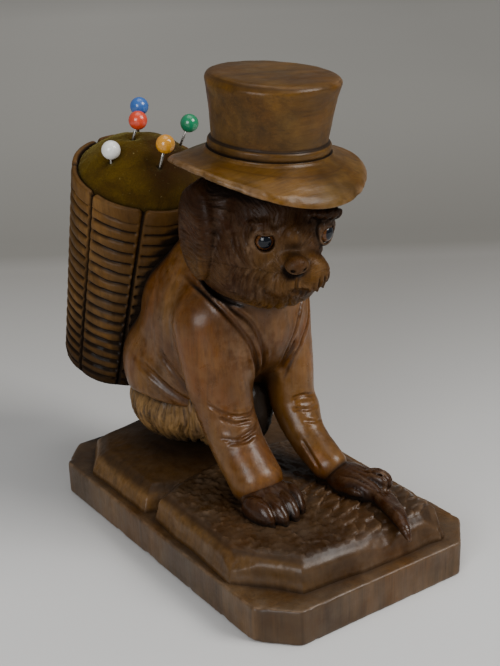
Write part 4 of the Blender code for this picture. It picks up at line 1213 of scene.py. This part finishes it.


# The darkest stained brown of the wood, the gold of its warm places, and its worn edges, dust and painted
# shade of shut hollows
STAIN, GOLD = (0.020, 0.007, 0.001), (0.185, 0.085, 0.012)
WORN_WOOD, DUST, HOLLOW_SHADE = (0.30, 0.185, 0.105), (0.15, 0.115, 0.08), (0.005, 0.0022, 0.0008)


def wood(name, pale, amber, dull=0.32, shine=0.30, hair=0.0, grain=1.0, greyed=0.0, lying=False, wear=1.0):
    """Stained and waxed wood: amber and brown patches, fibres and pores, painted shade in its hollows, and
    worn edges.

    Its fibres stand upright, or lie across where lying is true, and dull is the roughness of its wax.
    """
    n = Nodes(name)
    dark = STAIN
    patch = n.noise(n.place(), 75, 3, 0.55, 0.4)
    patch2 = n.noise(n.place((1, 1, 0.5)), 210, 4, 0.6, 0.2)
    fibre_scale = (0.055, 1, 1) if lying else (1, 1, 0.055)
    streak_scale = (0.14, 1, 1) if lying else (1, 1, 0.14)
    cloud = n.noise(n.place((1, 1, 0.6)), 48, 4, 0.6, 0.3)
    streak = n.noise(n.place(streak_scale), 330, 4, 0.65, 0.4)
    fibre = n.noise(n.place(fibre_scale), 2400, 3, 0.6)
    fibre2 = n.noise(n.place(fibre_scale), 900, 3, 0.6, 0.3)
    colour = n.mix(n.band(patch, 0.36, 0.62), pale, amber)
    brown = [0.5 * (a + b) for a, b in zip(dark, amber)]
    colour = n.mix(n.times(n.band(patch2, 0.42, 0.70), 0.6), colour, brown)
    colour = n.mix(n.times(n.band(fibre2, 0.52, 0.78), 0.42 * grain), colour, dark)
    colour = n.mix(n.times(n.band(fibre, 0.56, 0.74), 0.30 * grain), colour, tint(dark, 0.4))
    colour = n.mix(n.times(n.band(fibre, 0.47, 0.30), 0.22 * grain), colour, tint(pale, 1.5))
    colour = n.shaded(colour, n.band(cloud, 0.34, 0.66, 0.52, 1.22))
    colour = n.shaded(colour, n.band(streak, 0.32, 0.68, 0.68, 1.22))
    bump = n.bump(fibre, 0.00006, 0.6 * grain)
    bump = n.bump(n.noise(n.place(), 420, 3, 0.5), 0.00018, 0.5, bump)
    if hair:
        strokes = n.noise(n.vector("hair"), 1.0, 3, 0.6, 0.3)
        colour = n.mix(n.times(n.band(strokes, 0.50, 0.64), 0.75 * hair), colour, tint(dark, 0.55))
        colour = n.mix(n.times(n.band(strokes, 0.46, 0.34), 0.35 * hair), colour, tint(pale, 1.25))
        bump = n.bump(strokes, 0.0004, 0.75 * hair, bump)
    if greyed:
        dust = n.noise(n.place(), 160, 4, 0.6)
        colour = n.mix(n.times(n.band(dust, 0.35, 0.65), greyed), colour, DUST)
    hollow = n.value("hollow")
    edge = n.value("edge")
    # The warm number mixes in gold: paler rubbed wax on the dog, and painted light on the rock.
    gold = n.times(n.value("warm"), n.band(patch2, 0.3, 0.6, 0.45, 0.9))
    colour = n.mix(gold, colour, n.shaded(GOLD, n.band(fibre2, 0.35, 0.7, 1.15, 0.6)))
    worn = n.times(edge, n.band(n.noise(n.place(), 500, 3, 0.6), 0.35, 0.6))
    colour = n.mix(n.times(worn, 0.75 * wear), colour, WORN_WOOD)
    # Painted shade: the hollow number darkens the colour to a shaded brown, and near black where shut in.
    shaded_wood = [0.35 * a + 0.25 * b for a, b in zip(amber, dark)]
    colour = n.mix(n.band(hollow, 0.05, 0.30, 0, 0.55), colour, shaded_wood)
    colour = n.mix(n.band(hollow, 0.25, 0.62, 0, 0.95), colour, HOLLOW_SHADE)
    n.put(n.shader, "Base Color", colour)
    roughness = n.band(n.noise(n.place(), 300, 4, 0.6), 0.3, 0.7, dull - 0.07, dull + 0.12)
    roughness = n.plus(roughness, n.band(hollow, 0.2, 0.7, 0, 0.35))
    n.put(n.shader, "Roughness", roughness)
    n.put(n.shader, "Normal", bump)
    n.shader.inputs["IOR"].default_value = 1.5
    n.shader.inputs["Specular IOR Level"].default_value = shine
    n.shader.inputs["Coat Weight"].default_value = 0.5 * shine
    n.shader.inputs["Coat Roughness"].default_value = 0.20
    return n.material


def velvet():
    """Worn cotton velvet: olive nap with brown bald patches, small bright specks, painted shade in its
    hollows and a soft sheen.
    """
    n = Nodes("olive_velvet")
    side = n.noise(n.place(), 60, 3, 0.5, 0.5)
    patch = n.noise(n.place(), 190, 4, 0.6, 0.6)
    nap = n.noise(n.place(), 2600, 2, 0.6)
    lint = n.noise(n.place(), 1500, 2, 0.7)
    bare = n.value("bare")
    colour = n.mix(n.band(patch, 0.35, 0.66), (0.092, 0.053, 0.0014), (0.047, 0.023, 0.001))
    colour = n.mix(n.times(bare, n.band(side, 0.3, 0.6, 0.75, 1.0)), colour, (0.024, 0.008, 0.0006))
    colour = n.mix(n.times(n.band(nap, 0.45, 0.75), 0.5), colour, (0.024, 0.015, 0.002))
    colour = n.mix(n.times(n.band(lint, 0.69, 0.76), 0.5), colour, (0.34, 0.27, 0.10))
    # Painted shade at the cup's wall and round the pins.
    colour = n.mix(n.band(n.value("hollow"), 0.15, 0.75, 0, 0.9), colour, (0.008, 0.005, 0.001))
    n.put(n.shader, "Base Color", colour)
    n.shader.inputs["Roughness"].default_value = 0.95
    n.shader.inputs["Sheen Weight"].default_value = 0.25
    n.shader.inputs["Sheen Roughness"].default_value = 0.35
    n.shader.inputs["Sheen Tint"].default_value = (0.62, 0.56, 0.16, 1)
    n.shader.inputs["Specular IOR Level"].default_value = 0.12
    bump = n.bump(nap, 0.00022, 0.8)
    n.put(n.shader, "Normal", n.bump(n.noise(n.place(), 480, 3, 0.6), 0.0004, 0.6, bump))
    return n.material


def painted_ball(word, colour):
    """A glossy pin head: one colour with faint clouding and tiny dents in its lacquer."""
    n = Nodes("lacquer_" + word)
    cloud = n.noise(n.place(), 700, 3, 0.6)
    clouded = n.mix(n.times(n.band(cloud, 0.4, 0.7), 0.18), colour, tint(colour, 0.72))
    n.put(n.shader, "Base Color", clouded)
    n.put(n.shader, "Roughness", n.band(cloud, 0.3, 0.7, 0.16, 0.3))
    n.put(n.shader, "Normal", n.bump(n.noise(n.place(), 500, 2, 0.5), 0.00004, 0.12))
    n.shader.inputs["Coat Weight"].default_value = 0.4
    n.shader.inputs["Coat Roughness"].default_value = 0.12
    return n.material


def nickel():
    """Drawn pin wire: bright grey with fine drawing lines and a few dull spots."""
    n = Nodes("nickel_wire")
    spot = n.noise(n.place(), 1400, 3, 0.6)
    n.put(n.shader, "Base Color", n.mix(n.band(spot, 0.45, 0.7), (0.42, 0.40, 0.37), (0.24, 0.22, 0.19)))
    n.put(n.shader, "Roughness", n.band(spot, 0.3, 0.7, 0.18, 0.4))
    n.shader.inputs["Metallic"].default_value = 1.0
    n.put(n.shader, "Normal", n.bump(n.noise(n.place((1, 1, 0.1)), 5000, 2), 0.00002, 0.4))
    return n.material


def glass_eye():
    """A glass eye: black pupil, amber iris with rays and a dark rim, under clear gloss."""
    n = Nodes("amber_eye")
    off = n.value("off")
    rays = n.noise(n.vector("rays"), 1.0, 3, 0.6)
    iris = n.mix(n.band(rays, 0.35, 0.65), (0.115, 0.042, 0.010), (0.055, 0.019, 0.004))
    iris = n.mix(n.band(off, 0.86, 1.0), iris, (0.02, 0.008, 0.003))
    colour = n.mix(n.band(off, 0.60, 0.68), (0.003, 0.005, 0.009), iris)
    n.put(n.shader, "Base Color", colour)
    n.shader.inputs["Roughness"].default_value = 0.14
    n.shader.inputs["Specular IOR Level"].default_value = 0.22
    n.shader.inputs["Coat Weight"].default_value = 0.25
    n.shader.inputs["Coat Roughness"].default_value = 0.05
    return n.material


def table_top():
    """Pale paper, its tones painted light and shade: lighter in front, and greyer and then paler beyond a
    soft line behind the object, and darker towards the right there.
    """
    n = Nodes("paper_sweep")
    where = n.place(turn=(0, 0, BACKDROP_TURN))
    far = n.add("ShaderNodeSeparateXYZ", Vector=where).outputs[1]
    cloud = n.band(n.noise(n.place(), 3, 2), 0.3, 0.7, 0.97, 1.03)
    near_tone = n.mix(n.band(far, *NEAR_FADE), FLOOR_NEAR, FLOOR_FAR)
    wall = n.mix(n.band(far, *WALL_FADE), BACKDROP, BACKDROP_TOP)
    tone = n.mix(n.band(far, *HORIZON_FADE), near_tone, wall)
    # Painted shade: darker towards the right behind the object.
    across = n.band(n.add("ShaderNodeSeparateXYZ", Vector=where).outputs[0], -0.12, 0.16, 1.0, 0.80)
    across = n.band(n.band(far, 0.0, 0.16), 0.0, 1.0, 1.0, across)
    n.put(n.shader, "Base Color", n.shaded(n.shaded(tone, cloud), across))
    n.shader.inputs["Roughness"].default_value = 0.85
    n.shader.inputs["Specular IOR Level"].default_value = 0.2
    return n.material


# Hollows, for painted shade, and edges

def hat_near(p):
    """Rough distance to the hat: the brim's curled board and the crown's drum."""
    q = (p - HAT_SEAT) @ leaning(*HAT_LEAN).T
    r, a, h = np.hypot(q[..., 0], q[..., 1]), np.arctan2(q[..., 1], q[..., 0]), q[..., 2]
    brim = np.maximum(np.abs(h + 0.65 - hat_lift(r, a)) - 0.65, r - BRIM_RADIUS)
    flare = CROWN_FOOT + (CROWN_TOP - CROWN_FOOT) * np.clip(h / CROWN_HEIGHT, 0, 1) ** 1.6
    crown = np.maximum(np.maximum(r - flare, h - CROWN_HEIGHT), -6 - h)
    return np.minimum(brim, crown)


def basket_near(p):
    """Rough distance to the basket: a tapered drum with its cup taken out, and the velvet in it."""
    q = (p - BASKET_RIM_MIDDLE) @ basket_axes().T
    r, depth = np.hypot(q[..., 0], q[..., 1]), -q[..., 2]
    wide = BASKET_RIM + (BASKET_FOOT - BASKET_RIM) * depth / BASKET_LENGTH
    drum = np.maximum(np.maximum(r - wide + 0.2, depth - BASKET_LENGTH), -depth)
    dome = np.maximum(-depth - dome_height(r), r - CUP_LIP)
    return np.minimum(np.maximum(drum, -np.maximum(r - CUP_LIP, -depth - 5)), dome * 0.8)


def plinth_near(p):
    """Distance to the board, a box with cut corners."""
    q = np.abs(p - np.array([0, -0.6, PLINTH_THICKNESS / 2]))
    box = q - np.array([26.7, 44.3, PLINTH_THICKNESS / 2])
    corner = (q[..., 0] + q[..., 1] - 26.7 - 44.3 + 6.2) * 0.7071
    return np.maximum(np.maximum(np.maximum(box[..., 0], box[..., 1]), box[..., 2]), corner)


def all_wood(p):
    """The nearest of all the carving's masses, for finding hollows."""
    d = np.minimum(coat_mass(p), egg(p, HAUNCH, (13.9, 14.5, 10.5)))
    d = np.minimum(d, head_shape(p))
    d = np.minimum(d, np.minimum(egg(p, RIGHT_PAW, (5.6, 7.0, 3.7)), egg(p, LEFT_PAW, (4.7, 7.7, 3.6))))
    d = np.minimum(d, np.minimum(hat_near(p), basket_near(p)))
    main = outline_gap(p[..., 0], p[..., 1], MAIN_SLAB)
    rear = outline_gap(p[..., 0], p[..., 1], REAR_SLAB)
    d = np.minimum(d, np.maximum(np.minimum(main, rear) + 1.2, p[..., 2] - ROCK_TOP))
    return np.minimum(d, plinth_near(p))


def hollowness(verts, normals, own=None):
    """How shut in each place is, which is painted as shade: summed over several steps out, how much nearer
    wood is than the step.
    """
    total = np.zeros(len(verts))
    for reach, share in ((0.5, 0.20), (1.2, 0.22), (3.0, 0.26), (6.5, 0.20), (12.0, 0.10)):
        out = verts + normals * reach
        d = all_wood(out) if reach > 1 or own is None else own(out)
        total += share * np.clip(1 - d / reach, 0, 1)
    return total


def edginess(verts, normals, own, reach=0.7):
    """How sharply the wood falls away: how much nearer the skin is at one step inwards than the step."""
    return np.clip(1.15 + own(verts - normals * reach) / reach, 0, 1)


def vertex_normals(verts, quads):
    """Unit directions at vertices: the summed cross products of the faces round them."""
    a, b, c, d = (verts[quads[:, k]] for k in range(4))
    face = np.cross(c - a, d - b)
    total = np.zeros_like(verts)
    for k in range(4):
        for axis in range(3):
            total[:, axis] += np.bincount(quads[:, k], face[:, axis], len(verts))
    return total / np.maximum(np.linalg.norm(total, axis=1, keepdims=True), 1e-12)


def carved(name, field, low, high, step, hair=None, warm=None, shut=1.0, shade_and_stain=None):
    """A skin of a field, moved once more onto it for crispness, with painted shade in its hollows, its edges
    and its warm places.

    The extra painted shade (on the head also the nose's darker wax), warm and hair are functions of the
    vertices, and shut weakens the hollows' painted shade.
    """
    values, low = sampled(field, low, high, step)
    verts, quads = skin(values, low, step)
    n = vertex_normals(verts, quads)
    verts = verts - np.clip(field(verts), -0.3 * step, 0.3 * step)[:, None] * n
    n = vertex_normals(verts, quads)
    hollow = hollowness(verts, n, field) * shut
    numbers = {
        "hollow": np.maximum(hollow, shade_and_stain(verts)) if shade_and_stain else hollow,
        "edge": edginess(verts, n, field),
        "warm": warm(verts) if warm else np.zeros(len(verts)),
    }
    vectors = {"hair": hair(verts)} if hair else None
    return make_piece(name, verts, quads, None, numbers, vectors)


def shaded_grid(name, grid, own_hollow, edge=0.0):
    """A closed grid piece with painted shade from the hollows of the wood round it and from its own cuts."""
    n = normals_of(grid)
    if (n * (grid - grid.mean((0, 1)))).sum() < 0:
        n = -n
    flat, out = grid.reshape(-1, 3), n.reshape(-1, 3)
    total = np.zeros(len(flat))
    for reach, share in ((1.2, 0.2), (3.0, 0.35), (6.5, 0.3)):
        total += share * np.clip(1 - (all_wood(flat + out * (reach + 0.3)) + 0.1) / reach, 0, 1)
    hollow = np.maximum(total.reshape(grid.shape[:2]), own_hollow)
    plain = np.zeros(grid.shape[:2])
    return wrapped(name, grid, {"hollow": hollow, "edge": plain + edge, "warm": plain})


# Camera, light and table

CAMERA_PLACE = np.array([-133.877, -191.731, 141.783])
CAMERA_AZIMUTH = math.radians(-35.117)
CAMERA_HEIGHT = math.radians(22.482)
CAMERA_ROLL = math.radians(-2.009)
CAMERA_LENS = 64.724
# The table's tones, painted light and shade on plain paper, and where, in metres behind the origin along the
# view, they change
FLOOR_NEAR = (0.63, 0.625, 0.615)
FLOOR_FAR = (0.31, 0.30, 0.282)
BACKDROP = (0.240, 0.232, 0.212)
BACKDROP_TOP = (0.68, 0.665, 0.62)
WALL_FADE = (0.21, 0.85)
BACKDROP_TURN = math.radians(35.1)
NEAR_FADE = (-0.03, 0.17)
HORIZON_FADE = (0.176, 0.192)


def put_camera():
    """The camera at the photograph's angle."""
    az, el, roll = CAMERA_AZIMUTH, CAMERA_HEIGHT, CAMERA_ROLL
    back = np.array([math.sin(az) * math.cos(el), -math.cos(az) * math.cos(el), math.sin(el)])
    right = np.cross(-back, [0, 0, 1])
    right = right / np.linalg.norm(right)
    up = np.cross(right, -back)
    across = math.cos(roll) * right + math.sin(roll) * up
    upward = -math.sin(roll) * right + math.cos(roll) * up
    data = bpy.data.cameras.new("camera")
    data.lens = CAMERA_LENS
    data.clip_start = 0.01
    camera = bpy.data.objects.new("camera", data)
    camera.matrix_world = Matrix((
        (across[0], upward[0], back[0], CAMERA_PLACE[0] * MM),
        (across[1], upward[1], back[1], CAMERA_PLACE[1] * MM),
        (across[2], upward[2], back[2], CAMERA_PLACE[2] * MM), (0, 0, 0, 1)))
    bpy.context.scene.collection.objects.link(camera)
    bpy.context.scene.camera = camera


def soft_light(name, place, size, power, colour=(1, 1, 1)):
    """A square soft box at a place, in metres, aimed at the middle of the dog."""
    data = bpy.data.lights.new(name, "AREA")
    data.size = size
    data.energy = power
    data.color = colour
    light = bpy.data.objects.new(name, data)
    light.location = place
    light.rotation_euler = (Vector((0, 0, 0.05)) - Vector(place)).to_track_quat("-Z", "Y").to_euler()
    bpy.context.scene.collection.objects.link(light)


def put_lights():
    """Seen by the camera: a soft box at the right, one overhead, a cooler one at the left, a grey room."""
    soft_light("key_box", (0.33, -0.50, 0.56), 0.36, 5.4, (1.0, 0.985, 0.96))
    soft_light("top_box", (0.10, 0.05, 0.85), 0.60, 2.1)
    soft_light("left_box", (-0.68, -0.38, 0.38), 0.40, 4.3, (0.95, 0.975, 1.0))
    world = bpy.data.worlds.new("grey_room")
    world.use_nodes = True
    world.node_tree.nodes["Background"].inputs["Color"].default_value = (0.60, 0.59, 0.58, 1)
    world.node_tree.nodes["Background"].inputs["Strength"].default_value = 0.31
    bpy.context.scene.world = world


def put_table():
    """A flat sheet of paper, 6 m square and a hair under the plinth, as an even grid."""
    count = 61
    line = np.linspace(-3, 3, count)
    u, v = np.meshgrid(line, line, indexing="ij")
    verts = np.stack([u.ravel() * 1000, v.ravel() * 1000, np.full(u.size, -0.05)], 1)
    i, j = np.meshgrid(np.arange(count - 1), np.arange(count - 1), indexing="ij")
    a = (i * count + j).ravel()
    table = make_piece("table_sweep", verts, np.stack([a, a + count, a + count + 1, a + 1], 1))
    table.data.materials.append(table_top())


# Assembly

def settle_cloth(piece, held_points, turns, swell):
    """Lets the pad puff as cloth for a few steps under air pressure, then bakes it.

    The held points stay where they are, and no other point moves further than swell, in millimetres.
    """
    before = np.empty(len(piece.data.vertices) * 3)
    piece.data.vertices.foreach_get("co", before)
    before = before.reshape(-1, 3)
    held = piece.vertex_groups.new(name="held")
    held.add([int(k) for k in np.flatnonzero(held_points)], 1.0, "REPLACE")
    cloth = piece.modifiers.new("puff", "CLOTH")
    cloth.settings.quality = 6
    cloth.settings.mass = 0.02
    cloth.settings.use_pressure = True
    cloth.settings.uniform_pressure_force = 4
    cloth.settings.vertex_group_mass = "held"
    cloth.settings.effector_weights.gravity = 0
    cloth.collision_settings.use_collision = False
    scene = bpy.context.scene
    for frame_number in range(1, turns + 1):
        scene.frame_set(frame_number)
    graph = bpy.context.evaluated_depsgraph_get()
    puffed = piece.evaluated_get(graph).to_mesh()
    after = np.empty(len(before) * 3)
    puffed.vertices.foreach_get("co", after)
    piece.evaluated_get(graph).to_mesh_clear()
    piece.modifiers.clear()
    move = after.reshape(-1, 3) - before
    length = np.linalg.norm(move, axis=1, keepdims=True)
    move = move * np.minimum(1, swell * MM / np.maximum(length, 1e-9))
    piece.data.vertices.foreach_set("co", (before + move).ravel())
    piece.data.update()
    scene.frame_set(1)


def dimple_velvet(piece, rings, around):
    """Presses the dome in round each pin and puckers its tucked edge, marks where the nap is worn, and marks
    painted shade at the cup's wall and round the pins.
    """
    count = rings * around
    co = np.empty(len(piece.data.vertices) * 3)
    piece.data.vertices.foreach_get("co", co)
    p = co.reshape(-1, 3) / MM
    side, back, up = basket_axes()
    q = p - BASKET_RIM_MIDDLE
    x, y, h = q @ side, q @ back, q @ up
    reach = np.hypot(x, y)
    on_dome = (np.arange(len(p)) < count) | (h > 0)
    push = np.zeros(len(p))
    dark = np.zeros(len(p))
    for colour in PINS:
        across, along = PINS[colour][0]
        gap = np.hypot(x - across, y - along)
        push += 0.75 * bell(gap, 1.7) + 0.35 * bell(gap, 0.6)
        dark += 0.8 * bell(gap, 0.7)
    angle = np.arctan2(y, x)
    tuck = smooth_step(reach, CUP_LIP - 3.4, CUP_LIP - 0.3)
    pucker = 0.28 * np.abs(np.sin(angle * 17 + 2 * np.sin(angle * 3))) * tuck
    lumps = 0.35 * grainy(p, (7, 7, 7), 91) + 0.10 * grainy(p, (1.6, 1.6, 1.6), 92)
    push += pucker - lumps * (1 - 0.6 * tuck)
    p = p - up * (push * on_dome)[:, None]
    worn = bell(np.hypot(x - 5.5, y + 3.5), 9.0) + 0.6 * bell(np.hypot(x + 1, y + 10), 6)
    worn = np.clip(worn + 0.25 * grainy(p, (3, 3, 3), 93), 0, 1) * on_dome
    # Painted shade: darker at the cup's wall and round each pin.
    wall = smooth_step(reach, CUP_LIP - 1.4, CUP_LIP - 0.2)
    hollow = np.clip(0.55 * wall + dark, 0, 1)
    for word, values in (("bare", worn), ("hollow", hollow)):
        layer = piece.data.attributes.new(word, "FLOAT", "POINT")
        layer.data.foreach_set("value", values.astype(np.float32))
    piece.data.vertices.foreach_set("co", (p * MM).ravel())
    piece.data.update()


def finish_piece(piece, material, slot, *nodes):
    """Gives a piece its finish and its body, and hides the CAD nodes that it stands for; its slot is not
    used.
    """
    piece.data.materials.clear()
    piece.data.materials.append(material)
    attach(piece, "root")
    if nodes:
        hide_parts(*nodes)
    return piece


def coat_glow(v):
    """Patches of lighter wax on the coat."""
    return 0.5 * smooth_step(grainy(v, (9, 9, 16), 7), 0.1, 0.6)


def coat_painted_shade(v):
    """Painted shade on the coat, between the sleeves and low on the left one, and a darker patch over the
    right shoulder.
    """
    between = bell((v[:, 0] + 1) / 5.5, 1) * bell((v[:, 2] - ROCK_TOP - 18) / 11, 1)
    between = between * smooth_step(v[:, 1], -15, -10)
    low_left = smooth_step(v[:, 0], 3, 8) * smooth_step(ROCK_TOP + 26 - v[:, 2], 0, 12)
    shoulder = bell(np.linalg.norm(v - RIGHT_SLEEVE[0] - np.array([-4, -3, 4]), axis=1) / 9, 1)
    return np.maximum(0.5 * between, np.maximum(0.15 * low_left, 0.29 * shoulder))


def rump_painted_shade(v):
    """Painted shade behind the forelegs, where the front of the rump shows between them."""
    return 0.62 * smooth_step(v[:, 0], -8, -3) * smooth_step(-v[:, 1], -14, -8)


def rock_painted_light(v):
    """Painted light on the rock: paler along its sides, most on the right, and over the rear."""
    side = smooth_step(ROCK_TOP - v[:, 2], 0.3, 1.6) * (0.15 + 0.6 * smooth_step(-v[:, 0], 5, 20))
    return np.clip(0.6 * side + 0.30 * smooth_step(v[:, 1], 0, 15), 0, 0.6)


def rock_painted_shade(v):
    """Painted shade on the rock's front."""
    return 0.22 * smooth_step(-v[:, 1], 4, 30)


def plinth_wear(grid):
    """Wear along the board's upper and lower edges, which are rows 5 to 23 of its profile."""
    side = np.zeros(grid.shape[:2])
    side[5:24] = 1
    edges = 0.8 * bell(grid[..., 2] - PLINTH_THICKNESS, 0.5) + 0.5 * bell(grid[..., 2], 0.5)
    return side * edges * (0.5 + 0.5 * grainy(grid, (3, 3, 3), 66))


def hat_shade_and_wear(grid):
    """Painted shade in the grooves at the band and in a line round the brim, painted shade on the top, and
    wear on the brim's and crown's edges.
    """
    q = (grid - HAT_SEAT) @ leaning(*HAT_LEAN).T
    r, h = np.hypot(q[..., 0], q[..., 1]), q[..., 2]
    # Painted shade: the grooves at the band, a line round the brim and the top are darkened.
    groove = 0.55 * bell(np.hypot(r - CROWN_FOOT - 0.45, h - 1.25), 0.3)
    groove = groove + 0.6 * bell(np.hypot(r - CROWN_FOOT, h - 3.2), 0.35)
    line = 0.3 * bell(r - CROWN_FOOT - 3.3, 0.22) * (h > -2) * (h < 1)
    edge = 0.7 * bell(r - BRIM_RADIUS, 0.6) + 0.8 * bell(np.hypot(r - CROWN_TOP, h - CROWN_HEIGHT), 0.7)
    edge = edge * (0.6 + 0.5 * grainy(grid, (4, 4, 4), 75))
    top = 0.16 * (h > CROWN_HEIGHT - 0.4) * (r < CROWN_TOP - 0.5)
    return groove + line + top, np.clip(edge, 0, 1)


def build_dog():
    """The dog's skins: coat, rump, head, paws and nails. The coat stands for the CAD carving."""
    coat_wood = wood("waxed_coat_wood", (0.142, 0.060, 0.007), (0.128, 0.038, 0.0005), shine=0.26)
    hairy = wood("hairy_wood", (0.031, 0.0100, 0.0014), (0.033, 0.0086, 0.0004),
                 dull=0.42, shine=0.10, hair=0.8, wear=0.5)
    rump_wood = wood("rump_wood", (0.300, 0.170, 0.058), (0.230, 0.115, 0.030),
                     dull=0.5, shine=0.2, hair=1.0)
    paw_wood = wood("paw_wood", (0.034, 0.0105, 0.0012), (0.030, 0.0080, 0.0004),
                    dull=0.27, shine=0.22, grain=1.3, wear=0.5)
    nail_wood = wood("nail_wood", (0.016, 0.006, 0.002), (0.018, 0.006, 0.001),
                     dull=0.24, shine=0.2, grain=0.6)
    coat = carved("dog_coat", coat_field, (-19, -24, 12), (19, 40, 70), COAT_STEP,
                  warm=coat_glow, shade_and_stain=coat_painted_shade)
    finish_piece(coat, coat_wood, "carved_wood", "carving")
    rump = carved("dog_rump", haunch_field, (-18, -6, 12), (16, 39, 34), COAT_STEP,
                  hair=haunch_hair, shade_and_stain=rump_painted_shade)
    finish_piece(rump, rump_wood, "carved_wood")
    head = carved("dog_head", head_field, (-18, -32, 50), (18, 14, 84), HEAD_STEP,
                  hair=head_hair, warm=muzzle_glow, shade_and_stain=head_shade_and_stain)
    finish_piece(head, hairy, "carved_wood")
    paw = carved("right_paw", right_paw_field, (-18, -31, 10), (-2, -10, 24), PAW_STEP)
    finish_piece(paw, paw_wood, "carved_wood")
    paw = carved("left_paw", left_paw_field, (2, -46, 10), (17, -13, 24), PAW_STEP)
    finish_piece(paw, paw_wood, "carved_wood")
    nails = carved("right_nails", nails_field, (-18, -31, 10), (-2, -18, 20), NAIL_STEP)
    finish_piece(nails, nail_wood, "carved_wood")


def build_base():
    """The rock's skin and the board under it."""
    rock_wood = wood("rock_wood", (0.054, 0.025, 0.006), (0.050, 0.017, 0.0006),
                     dull=0.36, shine=0.20, greyed=0.26)
    board_wood = wood("plinth_wood", (0.100, 0.053, 0.018), (0.092, 0.038, 0.006),
                      dull=0.42, grain=1.5, greyed=0.3)
    rock = carved("rock_base", rock_field, (-28, -46, 6), (28, 46, 18), ROCK_STEP,
                  warm=rock_painted_light, shut=0.7, shade_and_stain=rock_painted_shade)
    finish_piece(rock, rock_wood, "carved_wood")
    grid = plinth_grid()
    # Painted shade on the board's front.
    front_shade = 0.13 * smooth_step(-grid[..., 1], 30, 43) * smooth_step(grid[..., 0], -21, -17)
    board = shaded_grid("plinth_board", grid, front_shade, plinth_wear(grid))
    finish_piece(board, board_wood, "carved_wood")


def build_hat_and_basket():
    """The top hat, and the ribbed basket with painted shade in its grooves and on its side toward the dog."""
    hat_wood = wood("hat_wood", (0.124, 0.064, 0.012), (0.110, 0.044, 0.001),
                    dull=0.38, shine=0.20, lying=True)
    basket_wood = wood("basket_wood", (0.170, 0.084, 0.022), (0.142, 0.060, 0.007),
                       dull=0.50, shine=0.12, greyed=0.1)
    grid = hat_grid()
    finish_piece(shaded_grid("top_hat", grid, *hat_shade_and_wear(grid)), hat_wood, "carved_wood")
    grid, groove = basket_grid()
    # Painted shade on the basket's side toward the dog.
    toward_dog = (BASKET_RIM_MIDDLE - grid) @ basket_axes()[1]
    groove = np.maximum(groove, 0.31 * smooth_step(toward_dog, 4, 12))
    finish_piece(shaded_grid("ribbed_basket", grid, groove), basket_wood, "carved_wood")


def build_eyes():
    """Two glass eyes, each marked with the distance from the middle of its pupil, and rays for its iris."""
    glass = glass_eye()
    for side, word in ((-1, "right"), (1, "left")):
        centre = eye_place(side)
        grid = ball_grid(centre, EYE_RADIUS, 44, 56)
        q = (grid - centre) / EYE_RADIUS
        ahead = q @ eye_axis(side)
        off = np.where(ahead > 0, np.sqrt(np.clip(1 - ahead ** 2, 0, 1)), 1.0)
        a, b = q @ np.cross([0, 0, 1], eye_axis(side)), q[..., 2]
        spin = np.arctan2(b, a)
        rays = np.stack([np.cos(spin) * 9, np.sin(spin) * 9, off * 2], -1)
        eye = wrapped("glass_eye_" + word, grid, {"off": off}, {"rays": rays})
        finish_piece(eye, glass, "amber_glass", "eye_" + word)


def build_cushion_and_pins():
    """The velvet pad, puffed as cloth and dimpled at its pins, and the pins that stand in it."""
    around, rings = 180, 86
    pad = wrapped("velvet_pad", cushion_grid(around, rings))
    index = np.arange(len(pad.data.vertices))
    held = index >= (rings - 3) * around
    # The last vertex but one is the middle of the dome
    held[-2] = False
    settle_cloth(pad, held, 12, 0.7)
    dimple_velvet(pad, rings, around)
    finish_piece(pad, velvet(), "velvet", "velvet_cushion")
    wire = nickel()
    paints = {"red": (0.62, 0.055, 0.02), "yellow": (0.62, 0.27, 0.022), "white": (0.78, 0.77, 0.74),
              "green": (0.012, 0.20, 0.085), "blue": (0.035, 0.12, 0.38)}
    for colour, paint in paints.items():
        head, axis = pin_places(colour)
        ball = wrapped("pin_ball_" + colour, ball_grid(head, PIN_HEAD_RADIUS))
        finish_piece(ball, painted_ball(colour, paint), "ball_" + colour, "pin_head_" + colour)
        top, tip = head - axis * 1.2, head - axis * PIN_SHAFT_LENGTH
        rod = wrapped("pin_wire_" + colour, tube_grid(top, tip, PIN_SHAFT_RADIUS))
        finish_piece(rod, wire, "steel", "pin_shaft_" + colour)
    for side in ("right", "left"):
        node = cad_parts["eye_wire_" + side]
        node.data.materials.clear()
        node.data.materials.append(wire)


put_camera()
put_lights()
put_table()
build_dog()
build_base()
build_hat_and_basket()
build_eyes()
build_cushion_and_pins()
